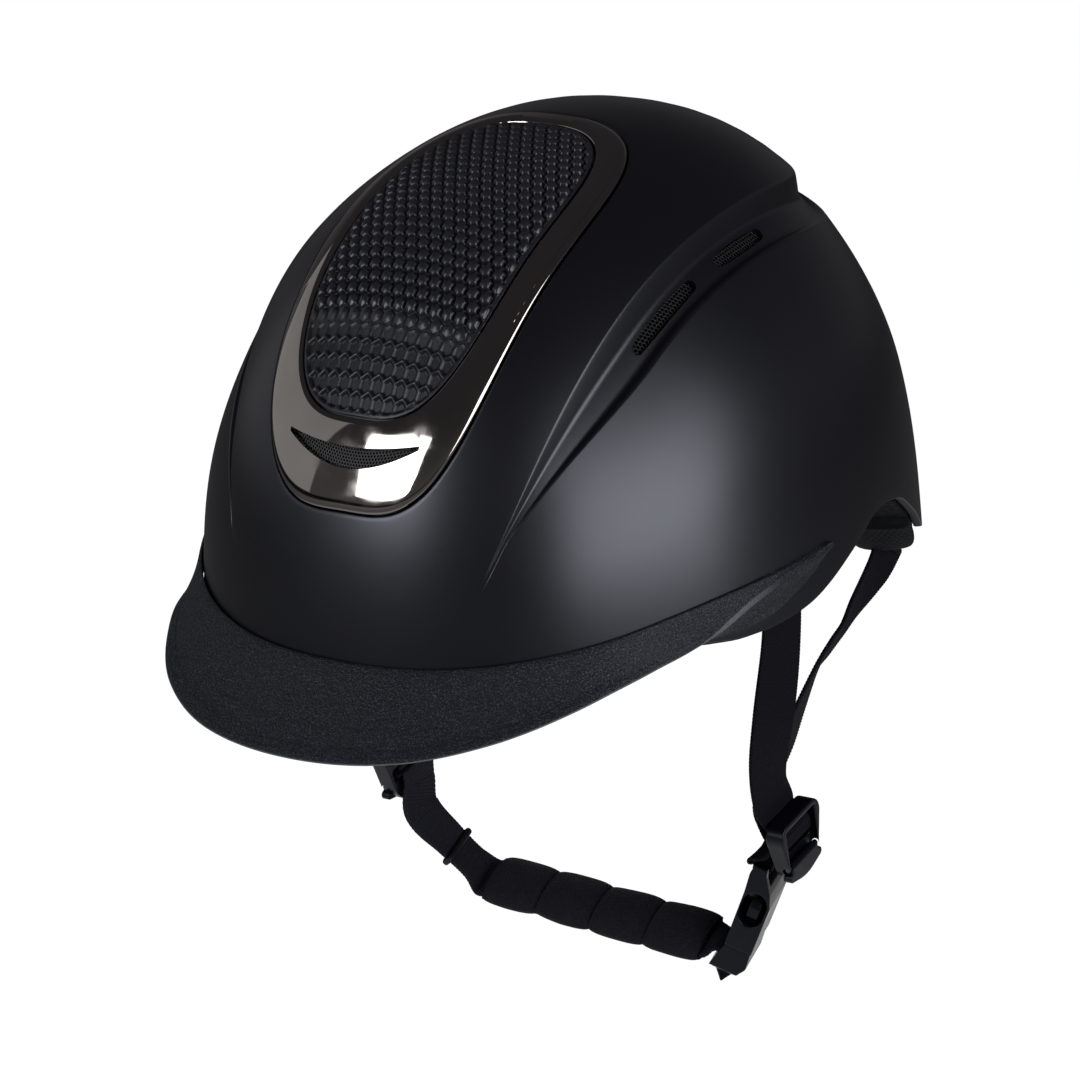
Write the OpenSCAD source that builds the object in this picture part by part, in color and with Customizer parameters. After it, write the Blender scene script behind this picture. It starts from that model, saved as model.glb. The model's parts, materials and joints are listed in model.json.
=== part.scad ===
// Riding helmet: a full shell with a peak that sweeps back along both sides, an open honeycomb
// front panel in a bright trim, vented side channels under a raised crest, a foam liner with pads,
// a nape cradle with a fit dial, and a chin harness with a side-release buckle.
// Sizes are in millimetres. +Z is up, the front faces -Y and the wearer's left is +X.
// The origin is the middle of the head opening.
// The shell is drawn on a map of its crown: a place is a bearing from the front and an angle
// down from the crown, and a lift is a distance off the shell's outer face.

/* [Shell] */
// Half of the shell's width
shell_half_w = 107.7; // [102:0.1:114]
// Shell length in front of its middle
shell_front = 137.2; // [132:0.1:143]
// Shell length behind its middle
shell_back = 141.8; // [136:0.1:148]
// Height of the crown above the shell's middle
shell_h = 157.7; // [150:0.1:166]
// Roundness of the shell seen from above, where 2 is an oval
plan_power = 2.18; // [2.05:0.01:2.4]
// Roundness of the shell seen from the side
side_power = 2.32; // [2.1:0.01:2.5]
// How far the shell's own axis leans forward, in degrees
shell_pitch = 13.5; // [10:0.5:17]
// Thickness of the shell wall
shell_wall = 3; // [2.6:0.1:3.6]

/* [Side channels] */
// Depth of the channel below the crest
channel_depth = 5; // [3:0.1:6]
// How far the side of the shell stays below the crown beside the channel
side_drop = 2.2; // [1:0.1:3]
// Width of the crest's bevel, in degrees on the crown map
bevel_w = 2.6; // [2.2:0.1:3.2]
// Distance from the crest to the outer side of the channel, in degrees on the crown map
channel_w = 6; // [5.4:0.1:6.6]
// Thickness of the mesh behind each vent
mesh_t = 1; // [0.8:0.1:1.4]

/* [Front panel] */
// Half of the trim's width, in degrees on the crown map
trim_half_w = 16.7; // [15.5:0.1:18]
// Half of the trim's length, in degrees on the crown map
trim_half_l = 32.5; // [31:0.1:34]
// Half of the panel's width, in degrees on the crown map
panel_half_w = 12.9; // [12:0.1:13.6]
// Half of the panel's length, in degrees on the crown map
panel_half_l = 25; // [23:0.1:26]
// Depth of the recess that holds the trim and the panel
recess = 1.6; // [1.2:0.1:1.9]
// How far the trim stands out of the shell
trim_proud = 1; // [0.6:0.1:1.6]
// Width of a honeycomb cell, in degrees on the crown map
cell_w = 1.72; // [1.6:0.02:1.84]
// Depth of the cells at the bottom and height of the scales at the top
cell_relief = 0.9; // [0.4:0.1:1.2]

/* [Peak] */
// Reach of the peak in front of the shell
peak_reach = 30.8; // [24:0.1:40]
// Radius of the peak's rounded edge
peak_edge_r = 1.7; // [1.2:0.1:2.2]
// Thickness of the lining under the peak
lining_t = 1.2; // [0.8:0.1:1.8]

/* [Liner and pads] */
// Thickness of the foam liner at the sides
liner_side = 18; // [15:0.5:19]
// Thickness of the foam liner at the front and back
liner_end = 27; // [22:0.5:30]
// How far the liner reaches below the shell's rim, in degrees on the crown map
liner_below = 0.7; // [0.4:0.1:1.2]
// Thickness of the comfort pads
pad_t = 7; // [5:0.5:9]

/* [Nape cradle] */
// Radius of the cradle's curve
cradle_r = 70; // [66:0.5:72]
// Height of the cradle
cradle_h = 20; // [18:0.5:24]
// Thickness of the cradle's wall
cradle_wall = 2.4; // [2:0.1:3]
// Diameter of the fit dial
dial_d = 30; // [24:0.5:34]
// Thickness of the fit dial
dial_t = 8; // [6:0.5:10]
// Grooves round the fit dial
dial_grooves = 24; // [12:1:30]

/* [Harness] */
// Width of the webbing
webbing_w = 18; // [16:0.5:20]
// Thickness of the webbing
webbing_t = 1.5; // [1.2:0.1:1.8]
// Width of the buckle
buckle_w = 25; // [24:0.5:28]
// Thickness of the buckle
buckle_t = 10; // [9:0.5:11]
// Length of the buckle's socket
buckle_l = 33; // [31:0.5:35]
// How far the buckle pulls apart
buckle_pull = 22; // [18:0.5:26]
// Width of the chin pad
chin_pad_w = 22; // [21:0.5:26]
// Thickness of the chin pad in the middle of a puff
chin_pad_t = 10; // [8:0.5:13]
// Number of puffs in the chin pad
puffs = 4; // [3:1:6]

/* [Hidden] */
// The shell leans back by this share of its height, and narrows towards the back by this share
shell_lean = 0.04;
shell_taper = -0.026;
// Clearances: between fixed shells, under the trim and panel, under a pad, round webbing and
// between moving pieces
fit_gap = 0.3;
seat_gap = 0.5;
pad_gap = 0.9;
web_gap = 0.35;
run_gap = 0.4;
$fn = 48;

// Helpers for smooth tables
function slope(t, i) = (i == 0 || i == len(t) - 1) ? 0
    : (t[i + 1][1] - t[i - 1][1]) / (t[i + 1][0] - t[i - 1][0]);
function span(t, x, i = 0) = (i >= len(t) - 2 || x <= t[i + 1][0]) ? i : span(t, x, i + 1);
function along(t, x) = let(i = span(t, x), h = t[i + 1][0] - t[i][0],
    u = min(max((x - t[i][0]) / h, 0), 1), m0 = slope(t, i) * h, m1 = slope(t, i + 1) * h)
    (2 * u^3 - 3 * u^2 + 1) * t[i][1] + (u^3 - 2 * u^2 + u) * m0
    + (3 * u^2 - 2 * u^3) * t[i + 1][1] + (u^3 - u^2) * m1;
function ease(x) = let(u = min(max(x, 0), 1)) u * u * (3 - 2 * u);
function mix(a, b, t) = a + (b - a) * t;
function unit(v) = v / norm(v);

// The shell's face: how far it is from the middle in one direction, and the crown map
function reach(d) = let(y = d.y - shell_lean * d.z, a = y < 0 ? shell_front : shell_back,
    b = shell_half_w * (1 + shell_taper * d.y), h = d.z > 0 ? shell_h : 1.5 * shell_h)
    (((abs(d.x) / b)^plan_power + (abs(y) / a)^plan_power)^(side_power / plan_power)
    + (abs(d.z) / h)^side_power)^(-1 / side_power);
function face(q) = let(phi = norm(q), u = phi < 0.001 ? [0, 0] : q / phi,
    d = [sin(phi) * u.x, sin(phi) * u.y, cos(phi)]) reach(d) * d;
function outward(q) = let(p = face(q)) unit(cross(face(q + [0.2, 0]) - p, face(q + [0, 0.2]) - p));
function pitched(p) = [p.x, p.y * cos(shell_pitch) - p.z * sin(shell_pitch),
    p.y * sin(shell_pitch) + p.z * cos(shell_pitch)];
function at(q, lift) = pitched(face(q) + lift * outward(q));
function place(bearing, phi) = phi * [sin(bearing), -cos(bearing)];
function turn(f) = abs(f > 180 ? f - 360 : f);

// Outlines on the crown map, each a rounded oblong at a bearing f from the front
function oblong(w, l, y, n, f) = let(c = sin(f), s = -cos(f),
    k = (abs(c)^n + abs(s)^n)^(-1 / n)) [w * k * c, y + l * k * s];
function oblong_out(w, l, n, f) = let(c = sin(f), s = -cos(f))
    unit([sign(c) * abs(c)^(n - 1) / w, sign(s) * abs(s)^(n - 1) / l]);
trim_y = -22.5;
panel_y = -18.6;
crest_half_w = 26;
crest_half_l = 57;
crest_y = -15;
crest_power = 4;
function panel_line(f, grow = 0) = oblong(panel_half_w + grow, panel_half_l + grow, panel_y, 3, f);
function trim_line(f, grow = 0) = oblong(trim_half_w + grow, trim_half_l + grow, trim_y, 3.2, f);
function crest_line(f, out = 0) = oblong(crest_half_w, crest_half_l, crest_y, crest_power, f)
    + out * oblong_out(crest_half_w, crest_half_l, crest_power, f);
// The channel fades in behind the front ends of the crest
channel_starts = -58;
channel_full = -36;
function fade(f) = ease((crest_line(f).y - channel_starts) / (channel_full - channel_starts));
function narrow(f) = max(fade(f), 0.12);

// The rim: angle down from the crown by bearing, low at the temples and arched over the ears
rim_by_bearing = [[0, 77.4], [35, 76.8], [50, 76.5], [56, 77.7], [62, 79.1], [70, 80], [80, 80],
    [96, 77.2], [105, 76], [116, 79.6], [124, 86], [136, 95.5], [155, 99.5], [180, 100.5]];
function rim(f, below = 0) = place(f, along(rim_by_bearing, turn(f)) + below);

// Closed surfaces from rings of points, with a point at either end or a flat end. A twin splits its
// faces the other way, so that it fits closely inside a skin whose rings run in the other order
function flat(rings) = [for (r = rings) each r];
module skin(rings, start, end, twin = false) {
    n = len(rings[0]);
    m = len(rings);
    points = concat([start], flat(rings), [end]);
    faces = concat(
        [for (i = [0:n - 1]) [0, 1 + (i + 1) % n, 1 + i]],
        [for (k = [0:m - 2], i = [0:n - 1]) let(a = 1 + k * n, b = a + n, j = (i + 1) % n)
            each (twin ? [[a + i, a + j, b + i], [a + j, b + j, b + i]]
                : [[a + i, a + j, b + j], [a + i, b + j, b + i]])],
        [for (i = [0:n - 1]) let(a = 1 + (m - 1) * n) [m * n + 1, a + i, a + (i + 1) % n]]);
    polyhedron(points, faces);
}
function middle(points) = [for (i = [0:2]) let(s = [for (p = points) p[i]]) s * [for (v = s) 1] / len(s)];
module tube(rings) skin(rings, middle(rings[0]), middle(rings[len(rings) - 1]));
module loop(rings) {
    n = len(rings[0]);
    m = len(rings);
    polyhedron(flat(rings), [for (k = [0:m - 1], i = [0:n - 1])
        let(a = k * n, b = ((k + 1) % m) * n, j = (i + 1) % n)
            each [[a + i, a + j, b + j], [a + i, b + j, b + i]]]);
}
// A slab between two grids of points with the same rows and columns
module slab(top, under) {
    r = len(top);
    c = len(top[0]);
    s = r * c;
    edge = concat([for (i = [0:c - 1]) i], [for (i = [1:r - 1]) i * c + c - 1],
        [for (i = [c - 2:-1:0]) (r - 1) * c + i], [for (i = [r - 2:-1:1]) i * c]);
    e = len(edge);
    polyhedron(concat(flat(top), flat(under)), concat(
        [for (i = [0:r - 2], j = [0:c - 2]) let(a = i * c + j)
            each [[a, a + c, a + c + 1], [a, a + c + 1, a + 1]]],
        [for (i = [0:r - 2], j = [0:c - 2]) let(a = s + i * c + j)
            each [[a, a + c + 1, a + c], [a, a + 1, a + c + 1]]],
        [for (i = [0:e - 1]) let(a = edge[i], b = edge[(i + 1) % e])
            each [[a, b, s + b], [a, s + b, s + a]]]));
}
module on_left(side) mirror([side < 0 ? 1 : 0, 0, 0]) children();

// Outer shell
seg = 64;
bearings = [for (i = [0:seg - 1]) i * 360 / seg];
trim_gap = 0.3;
function beyond(f, t) = mix(crest_line(f, (channel_w + 0.7) * narrow(f)), rim(f), t);
function side_lift(f, t) = -side_drop * fade(f) * (1 - ease(t / 0.45));
outer_steps = [
    function(f) [mix([0, panel_y], panel_line(f), 0.5), -recess],
    function(f) [mix([0, panel_y], trim_line(f), 0.68), -recess],
    function(f) [trim_line(f), -recess],
    function(f) [trim_line(f, trim_gap), 0],
    function(f) [mix(trim_line(f), crest_line(f), 0.5), 0],
    function(f) [crest_line(f), 0],
    function(f) [crest_line(f, bevel_w * narrow(f)), -channel_depth * fade(f)],
    function(f) [crest_line(f, channel_w * narrow(f)), -channel_depth * fade(f)],
    function(f) [beyond(f, 0), side_lift(f, 0)],
    function(f) [beyond(f, 0.12), side_lift(f, 0.12)],
    function(f) [beyond(f, 0.28), side_lift(f, 0.28)],
    function(f) [beyond(f, 0.46), 0],
    function(f) [beyond(f, 0.64), 0],
    function(f) [beyond(f, 0.82), 0],
    function(f) [rim(f, -0.25), 0]];
inner_steps = [
    function(f) [mix([0, panel_y], trim_line(f), 0.42), 0],
    function(f) [mix([0, panel_y], trim_line(f), 0.75), 0],
    function(f) [mix(trim_line(f), crest_line(f), 0.2), 0],
    function(f) [crest_line(f, -1.5), 0],
    function(f) [crest_line(f, 4.3 * narrow(f)), -channel_depth * fade(f)],
    function(f) [beyond(f, 0.1), side_lift(f, 0.1)],
    function(f) [beyond(f, 0.4), 0],
    function(f) [beyond(f, 0.7), 0]];
function ring(step, deeper, bs = bearings) = [for (f = bs) let(s = step(f)) at(s[0], s[1] - deeper)];
// Vents lie on the floor of the channel: [first bearing, last bearing]
side_vents = [[84.5, 100.5], [106, 117.5]];
rear_vents = [[166, 194]];
vent_in = 3.3;
vent_out = 5.3;
function vent_span(t) = let(r = sqrt(max(1 - (2 * t - 1)^2, 0))) 0.3 + 0.7 * r^0.5;
module channel_plug(vent, shrink, top, bottom) {
    mid = (vent_in + vent_out) / 2;
    half = (vent_out - vent_in) / 2 - shrink;
    trim_f = shrink * 0.9;
    tube([for (i = [0:8]) let(t = i / 8, f = mix(vent[0] + trim_f, vent[1] - trim_f, t),
        h = half * vent_span(t), a = crest_line(f, mid - h), b = crest_line(f, mid + h))
        [at(a, top), at(a, bottom), at(b, bottom), at(b, top)]]);
}
// The crescent vent low on the trim, [half width, lower edge, upper edge, tips] on the crown map
crescent = [10.8, -49.9, -47.3, -45.5];
function crescent_at(t, upper) = let(x = crescent[0] * (2 * t - 1), k = (2 * t - 1)^2)
    [x, mix(upper ? crescent[2] : crescent[1], crescent[3] + (upper ? 0.35 : 0), k)];
module crescent_plug(shrink, top, bottom) {
    tube([for (i = [0:12]) let(t = mix(0.02, 0.98, i / 12) , u = mix(0.5, t, 1 - shrink / 10),
        a = crescent_at(u, false) + [0, shrink], b = crescent_at(u, true) - [0, shrink])
        [at(a, bottom), at(a, top), at(b, top), at(b, bottom)]]);
}
module outer_shell() color("#2a2c33") resize([0, 0, 0]) difference() {
    skin(concat([for (s = outer_steps) ring(s, 0)], [[for (f = bearings) at(rim(f), -0.8)]],
        [[for (f = bearings) at(rim(f), -shell_wall)]],
        [for (i = [len(inner_steps) - 1:-1:0]) ring(inner_steps[i], shell_wall)]),
        at([0, panel_y], -recess), at([0, panel_y], -shell_wall));
    for (v = concat(side_vents, rear_vents)) channel_plug(v, 0, 3, -14);
    mirror([1, 0, 0]) for (v = side_vents) channel_plug(v, 0, 3, -14);
    crescent_plug(0, 3, -8);
}

// Trim, panel and vent meshes
module trim_frame() color("#8d8683") resize([0, 0, 0]) difference() {
    low = seat_gap - recess;
    loop([for (i = [seg:-1:1]) let(f = i * 360 / seg, a = trim_line(f, -0.05), b = panel_line(f, 0.25), w = norm(a - b))
        [at(a, low), at(b, low), at(b, trim_proud * 0.2), at(mix(b, a, 0.8 / w), trim_proud),
         at(mix(a, b, 1 / w), trim_proud * 0.9), at(a, 0)]]);
    crescent_plug(0, 6, -6);
}
cell_columns = 34;
cell_points = 47;
// Rows of cells stand further apart towards the bottom
function row_y(r) = -42 + 2.2 * r - 0.0225 * min(r, 16)^2 - 0.72 * max(r - 16, 0);
function cell_shift(q) = cell_relief * mix(-1, 0.75, ease((q.y + 35) / 8));
module honeycomb() {
    grid = [for (j = [0:cell_columns]) [for (i = [0:cell_points])
        [(cell_columns / 2 - j) * cell_w / 2, row_y((i - 2 + (j % 2) / 2) * 2 / 3)]]];
    tops = [for (j = [0:cell_columns]) [for (i = [0:cell_points]) let(q = grid[j][i],
        hub = (i - 2 - floor(j / 2) - j + 300) % 3 == 0) at(q, (hub ? cell_shift(q) : 0) + panel_top)]];
    s = (cell_columns + 1) * (cell_points + 1);
    c = cell_points + 1;
    edge = concat([for (i = [0:c - 1]) i], [for (i = [1:cell_columns]) i * c + c - 1],
        [for (i = [c - 2:-1:0]) cell_columns * c + i], [for (i = [cell_columns - 1:-1:1]) i * c]);
    e = len(edge);
    low = [for (k = edge) let(q = grid[floor(k / c)][k % c]) at(q, -6)];
    polyhedron(concat(flat(tops), low, [at([0, panel_y], -6)]), concat(
        [for (j = [0:cell_columns - 1], i = [0:c - 2]) let(a = j * c + i)
            each (j % 2 == 0 ? [[a, a + c, a + 1], [a + 1, a + c, a + c + 1]]
                : [[a, a + c, a + c + 1], [a, a + c + 1, a + 1]])],
        [for (i = [0:e - 1]) let(a = edge[i], b = edge[(i + 1) % e], la = s + i, lb = s + (i + 1) % e)
            each [[a, b, lb], [a, lb, la], [la, lb, s + e]]]));
}
panel_top = 0.1;
module grille_panel() color("#34363c") resize([0, 0, 0]) intersection() {
    honeycomb();
    rim_top = [for (f = bearings) at(panel_line(f), 3)];
    skin([rim_top, [for (f = bearings) at(panel_line(f), seat_gap - recess)],
        [for (f = bearings) at(mix([0, panel_y], trim_line(f), 0.68), seat_gap - recess)],
        [for (f = bearings) at(mix([0, panel_y], panel_line(f), 0.5), seat_gap - recess)]],
        at([0, panel_y], 9), at([0, panel_y], seat_gap - recess));
}
module front_vent_mesh() color("#3a3b40") crescent_plug(0.25, -recess - 0.1, -recess - 0.1 - mesh_t);
module channel_mesh(vents) {
    for (v = vents) channel_plug(v, 0.2, -channel_depth - 0.6, -channel_depth - 0.6 - mesh_t);
}
module side_vent_mesh(side) color("#3a3b40") on_left(side) channel_mesh(side_vents);
module side_vent_mesh_left() side_vent_mesh(1);
module side_vent_mesh_right() side_vent_mesh(-1);
module rear_vent_mesh() color("#3a3b40") channel_mesh(rear_vents);

// Peak: its joint with the shell, its edge and its lower joint, by bearing from the front
peak_end = 86;
joint_phi = [[0, 74.1], [12, 74.1], [21, 73.8], [30, 73.2], [40, 72.3], [50, 71.3], [60, 70.9],
    [73, 71.3], [86, 72.3]];
edge_phi = [[0, 82.7], [12, 82.2], [22, 80.9], [32, 79.2], [38, 78.2], [44, 77.9], [50, 77.2],
    [56, 75.7], [62, 73.8], [68, 72.8], [76, 72.3], [86, 73]];
edge_share = [[0, 1], [12, 0.95], [22, 0.76], [32, 0.49], [38, 0.34], [44, 0.165], [50, 0.085],
    [56, 0.08], [62, 0.09], [75, 0.09], [86, 0.06]];
foot_phi = [[0, 76.9], [30, 76.4], [44, 76.1], [50, 76.1], [56, 77.2], [62, 78.4], [68, 78.6],
    [74, 77.4], [80, 75.8], [86, 73.9]];
peak_stops = [for (i = [-32:32]) peak_end * sign(i) * abs(i / 32)^0.9];
function peak_joint(f) = at(place(f, along(joint_phi, turn(f))), 0.6);
function peak_foot(f, lift = 0.6) = at(place(f, along(foot_phi, turn(f))), lift);
function peak_edge(f) = at(place(f, along(edge_phi, turn(f))), peak_reach * along(edge_share, turn(f)));
function peak_ring(f) = let(j = peak_joint(f), e = peak_edge(f), k = peak_foot(f),
    j2 = at(place(f, along(joint_phi, turn(f))), 1.6),
    r = min(peak_edge_r, norm(e - k) * 0.3), top = unit(j - e), low = unit(k - e),
    out = -unit(top + low), hollow = min(norm(k - e) * 0.1, 2.5), up = unit(mix(j, k, 0.5) - k))
    [j, j2, mix(j2, e, 0.5) - 0.04 * norm(j - e) * up, e + top * 2 * r, e + top * 0.6 * r + out * 0.2,
     e + low * 0.6 * r, e + low * 2 * r, mix(e, k, 0.5) + hollow * up, k];
module peak() color("#3b3d42") tube([for (i = [len(peak_stops) - 1:-1:0]) peak_ring(peak_stops[i])]);
lining_end = 34;
module peak_lining() color("#232428") slab(lining_face(fit_gap + lining_t), lining_face(fit_gap));
function lining_face(drop) = [for (i = [-14:14]) [for (t = [0.1:0.16:0.9])
    lining_point(lining_end * i / 14, t, drop)]];
function lining_point(f, t, drop) = let(r = peak_ring(f), e = r[6], m = r[7], k = r[8],
    p = t < 0.5 ? mix(e, m, t * 2) : mix(m, k, t * 2 - 1),
    across = unit(k - e), run = unit(peak_edge(f + 1) - peak_edge(f - 1))) p + drop * unit(cross(across, run));

// Foam liner: it follows the inside of the shell and thins towards the sides
function liner_depth(q) = shell_wall + run_gap
    + mix(liner_side, liner_end, (q.y * q.y + 400) / (q * q + 900)) * (1 - 0.5 * ease((norm(q) - 80) / 16));
liner_steps = [
    function(f) mix([0, panel_y], trim_line(f), 0.35),
    function(f) mix([0, panel_y], trim_line(f), 0.7),
    function(f) trim_line(f),
    function(f) mix(trim_line(f), crest_line(f), 0.5),
    function(f) crest_line(f),
    function(f) beyond(f, 0.1),
    function(f) beyond(f, 0.3),
    function(f) beyond(f, 0.48),
    function(f) beyond(f, 0.65),
    function(f) beyond(f, 0.78),
    function(f) beyond(f, 0.9),
    function(f) rim(f, liner_below)];
function liner_ring(step) = [for (f = bearings) let(q = step(f)) at(q, -liner_depth(q))];
module impact_liner() color("#17181b") skin(concat(
    [for (s = inner_steps) ring(s, shell_wall + run_gap)],
    [[for (f = bearings) at(rim(f, liner_below), -shell_wall - run_gap)]],
    [for (i = [len(liner_steps) - 1:-1:0]) liner_ring(liner_steps[i])]),
    at([0, panel_y], -shell_wall - run_gap), at([0, panel_y], -liner_depth([0, panel_y])), true);

// Comfort pads: cushions on the inside of the liner between two bearings and two angles
function inside(f, phi, lift) = let(q = place(f, phi)) at(q, -liner_depth(q) - lift);
module cushion(f0, f1, p0, p1, t, rows = 10, cols = 8, tufts = 1) {
    function puff(u, v) = let(e = (1 - (2 * u - 1)^4) * (1 - (2 * v - 1)^4))
        0.25 + 0.75 * e^0.5 * (0.75 + 0.25 * abs(sin(u * tufts * 180)));
    slab([for (i = [0:rows]) [for (j = [0:cols]) let(u = i / rows, v = j / cols)
            inside(mix(f0, f1, u), mix(p0, p1, v), pad_gap)]],
        [for (i = [0:rows]) [for (j = [0:cols]) let(u = i / rows, v = j / cols)
            inside(mix(f0, f1, u), mix(p0, p1, v), pad_gap + t * puff(u, v))]]);
}
module brow_pad() color("#1d1e22") cushion(-52, 52, 64, 80.5, pad_t, 24, 6, 5);
module crown_pad() color("#1d1e22") slab(crown_face(0), crown_face(1));
function crown_face(under) = [for (j = [-6:6]) [for (i = [-6:6]) crown_point(i / 6, j / 6, under)]];
crown_pad_w = 26;
crown_pad_l = 34;
function crown_point(u, v, under) = let(s = [u * sqrt(1 - v * v / 2), v * sqrt(1 - u * u / 2)],
    q = [s.x * crown_pad_w, s.y * crown_pad_l - 12],
    e = (1 - s * s * 0.999)^0.4) at(q, -liner_depth(q) - pad_gap - 0.9 - under * pad_t * (0.2 + 0.8 * e));
module side_pad(side) color("#1d1e22") on_left(side) cushion(64, 96, 44, 68, pad_t, 8, 8, 1);
module side_pad_left() side_pad(1);
module side_pad_right() side_pad(-1);
// The nape pad wraps under the rim at the back, with a notch for each rear strap's anchor
nape_pad_end = 53;
function nape_point(f, drop, lift) = at(place(180 - f, along(rim_by_bearing, 180 - abs(f)) + drop), lift);
function nape_ring(f) = let(k = max((1 - (f / (nape_pad_end + 0.5))^12)^0.5, 0.55), d = liner_below + 0.4)
    [nape_point(f, d, -4), nape_point(f, d + 1.5 * k, -3), nape_point(f, d + 2.5 * k, -5),
    nape_point(f, d + 2.8 * k, -13), nape_point(f, d + 2.4 * k, -21), nape_point(f, d + 1.3 * k, -24.4),
    nape_point(f, d, -23)];
module nape_pad() color("#2b2d31") resize([0, 0, 0]) difference() {
    tube([for (i = [-16:16]) nape_ring(nape_pad_end * i / 16)]);
    for (side = [-1, 1]) on_left(side) strap_box(rear_stops[0], [webbing_w + 6, 14, 24]);
}

// Nape cradle: two bands fixed at the temples slide through loops on the legs of the cradle
cradle_y = 30;
cradle_z = -2;
leg_front = 6;
tongue_w = 60;
tongue_z = -28;
band_t = 2.2;
band_h = 13;
band_x = cradle_r + cradle_wall + run_gap;
band_z = cradle_z + cradle_h / 2;
band_rear = 44;
band_front = -14;
dial_z = -12;
temple = inside(66, 76, pad_gap);
module cradle_strip() difference() {
    union() {
        translate([0, cradle_y]) circle(cradle_r + cradle_wall, $fn = 96);
        translate([-cradle_r - cradle_wall, leg_front])
            square([2 * (cradle_r + cradle_wall), cradle_y - leg_front]);
    }
    translate([0, cradle_y]) circle(cradle_r, $fn = 96);
    translate([-cradle_r, leg_front - 1]) square([2 * cradle_r, cradle_y - leg_front + 1]);
    translate([-cradle_r * 2, leg_front - cradle_r * 2]) square(cradle_r * 4 * [1, 0.5]);
}
module fit_band(side) color("#202126") on_left(side) {
    translate([band_x + band_t, 0, 0]) rotate([90, 0, -90]) linear_extrude(band_t) difference() {
        union() {
            translate([-band_rear, band_z - band_h / 2]) square([band_rear - band_front, band_h]);
            hull() {
                translate([-temple.y, temple.z]) circle(band_h / 2);
                translate([-band_front, band_z]) circle(band_h / 2);
            }
        }
        for (i = [0:4]) translate([-band_rear + 4 + i * 7, band_z - 2]) square([4, 4]);
    }
    translate([band_x + band_t - 0.01, temple.y, temple.z]) rotate([0, 90, 0])
        cylinder(d = band_h - 3, h = temple.x - band_x - band_t - 1);
}
module fit_band_left() fit_band(1);
module fit_band_right() fit_band(-1);
axle_r = 4;
loop_l = 6;
module nape_cradle() color("#202126") {
    difference() {
        intersection() {
            translate([0, 0, tongue_z]) linear_extrude(cradle_z + cradle_h - tongue_z) cradle_strip();
            translate([0, 2 * cradle_r, 0]) rotate([90, 0, 0]) linear_extrude(3 * cradle_r) polygon([
                [-80, cradle_z], [-80, cradle_z + cradle_h], [80, cradle_z + cradle_h], [80, cradle_z],
                [tongue_w * 0.8, cradle_z], [tongue_w / 2, tongue_z], [-tongue_w / 2, tongue_z],
                [-tongue_w * 0.8, cradle_z]]);
        }
        for (a = [-64:16:64]) translate([0, cradle_y, band_z]) rotate([90, 0, a + 180])
            translate([0, 0, cradle_r - 4]) linear_extrude(12) square([12, cradle_h - 12], center = true);
        translate([0, cradle_y + cradle_r, dial_z]) rotate([90, 0, 0])
            cylinder(r = axle_r + run_gap, h = 12, center = true);
    }
    for (side = [-1, 1]) translate([side * (band_x + band_t / 2 + 0.4), leg_front + loop_l, band_z])
        rotate([90, 0, 0]) linear_extrude(loop_l) difference() {
            square([band_t + 2 * run_gap + 2.8, band_h + 6], center = true);
            translate([-side * 0.4, 0])
                square([band_t + 2 * run_gap, band_h + 2 * run_gap], center = true);
        }
}
cradle_pad_t = 5;
module cradle_pad() color("#1d1e22") translate([0, cradle_y, 0]) tube([for (i = [-12:12])
    let(a = i * 4.5, k = max((1 - (i / 12.6)^4)^0.5, 0.3) * cradle_pad_t)
    [for (c = [[0, 2], [0.6 * k, 3], [k, cradle_h / 2], [0.6 * k, cradle_h - 3], [0, cradle_h - 2]])
        let(r = cradle_r - pad_gap - c[0]) [r * sin(a), r * cos(a), cradle_z + c[1]]]]);
module dial_place() translate([0, cradle_y + cradle_r + cradle_wall, dial_z]) rotate([-90, 0, 0]) children();
module dial_axle() color("#55585e") dial_place() {
    translate([0, 0, -cradle_wall - fit_gap]) cylinder(r = axle_r, h = cradle_wall + fit_gap + dial_t + 1);
    translate([0, 0, -cradle_wall - fit_gap - 1.5]) cylinder(r = axle_r + 2, h = 1.5);
}
module fit_dial() color("#26282d") dial_place() translate([0, 0, fit_gap]) difference() {
    union() {
        cylinder(d = dial_d, h = dial_t - 2);
        translate([0, 0, dial_t - 2]) cylinder(d1 = dial_d, d2 = dial_d - 4, h = 2);
    }
    translate([0, 0, -1]) cylinder(r = axle_r + 0.08, h = dial_t + 2);
    for (i = [0:dial_grooves - 1]) rotate([0, 0, i * 360 / dial_grooves])
        translate([dial_d / 2 + 0.3, 0, -1]) cylinder(r = 1.1, h = dial_t + 2, $fn = 16);
}

// Webbing: a ribbon on a smooth path through chosen points, with its side direction at each
function step_len(s, i) = i < 0 || i > len(s) - 2 ? 0 : norm(s[i + 1][0] - s[i][0]);
function trend(s, i, k) = (s[min(i + 1, len(s) - 1)][k] - s[max(i - 1, 0)][k])
    / (step_len(s, i - 1) + step_len(s, i));
function bend(s, i, u, k) = let(h = step_len(s, i))
    (2 * u^3 - 3 * u^2 + 1) * s[i][k] + (u^3 - 2 * u^2 + u) * h * trend(s, i, k)
    + (3 * u^2 - 2 * u^3) * s[i + 1][k] + (u^3 - u^2) * h * trend(s, i + 1, k);
function smooth(s, k, n) = concat([for (i = [0:len(s) - 2], j = [0:n - 1]) bend(s, i, j / n, k)],
    [s[len(s) - 1][k]]);
function pick(list, i) = list[min(max(i, 0), len(list) - 1)];
function webbing(stops, n = 3) = let(path = smooth(stops, 0, n), sides = smooth(stops, 1, n)) [for (i = [0:len(path) - 1])
    let(t = unit(pick(path, i + 1) - pick(path, i - 1)),
        s = unit(sides[i] - (sides[i] * t) * t) * webbing_w / 2, m = unit(cross(t, s)) * webbing_t / 2)
        [path[i] + s + m, path[i] + s - m, path[i] - s - m, path[i] - s + m]];
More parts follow.
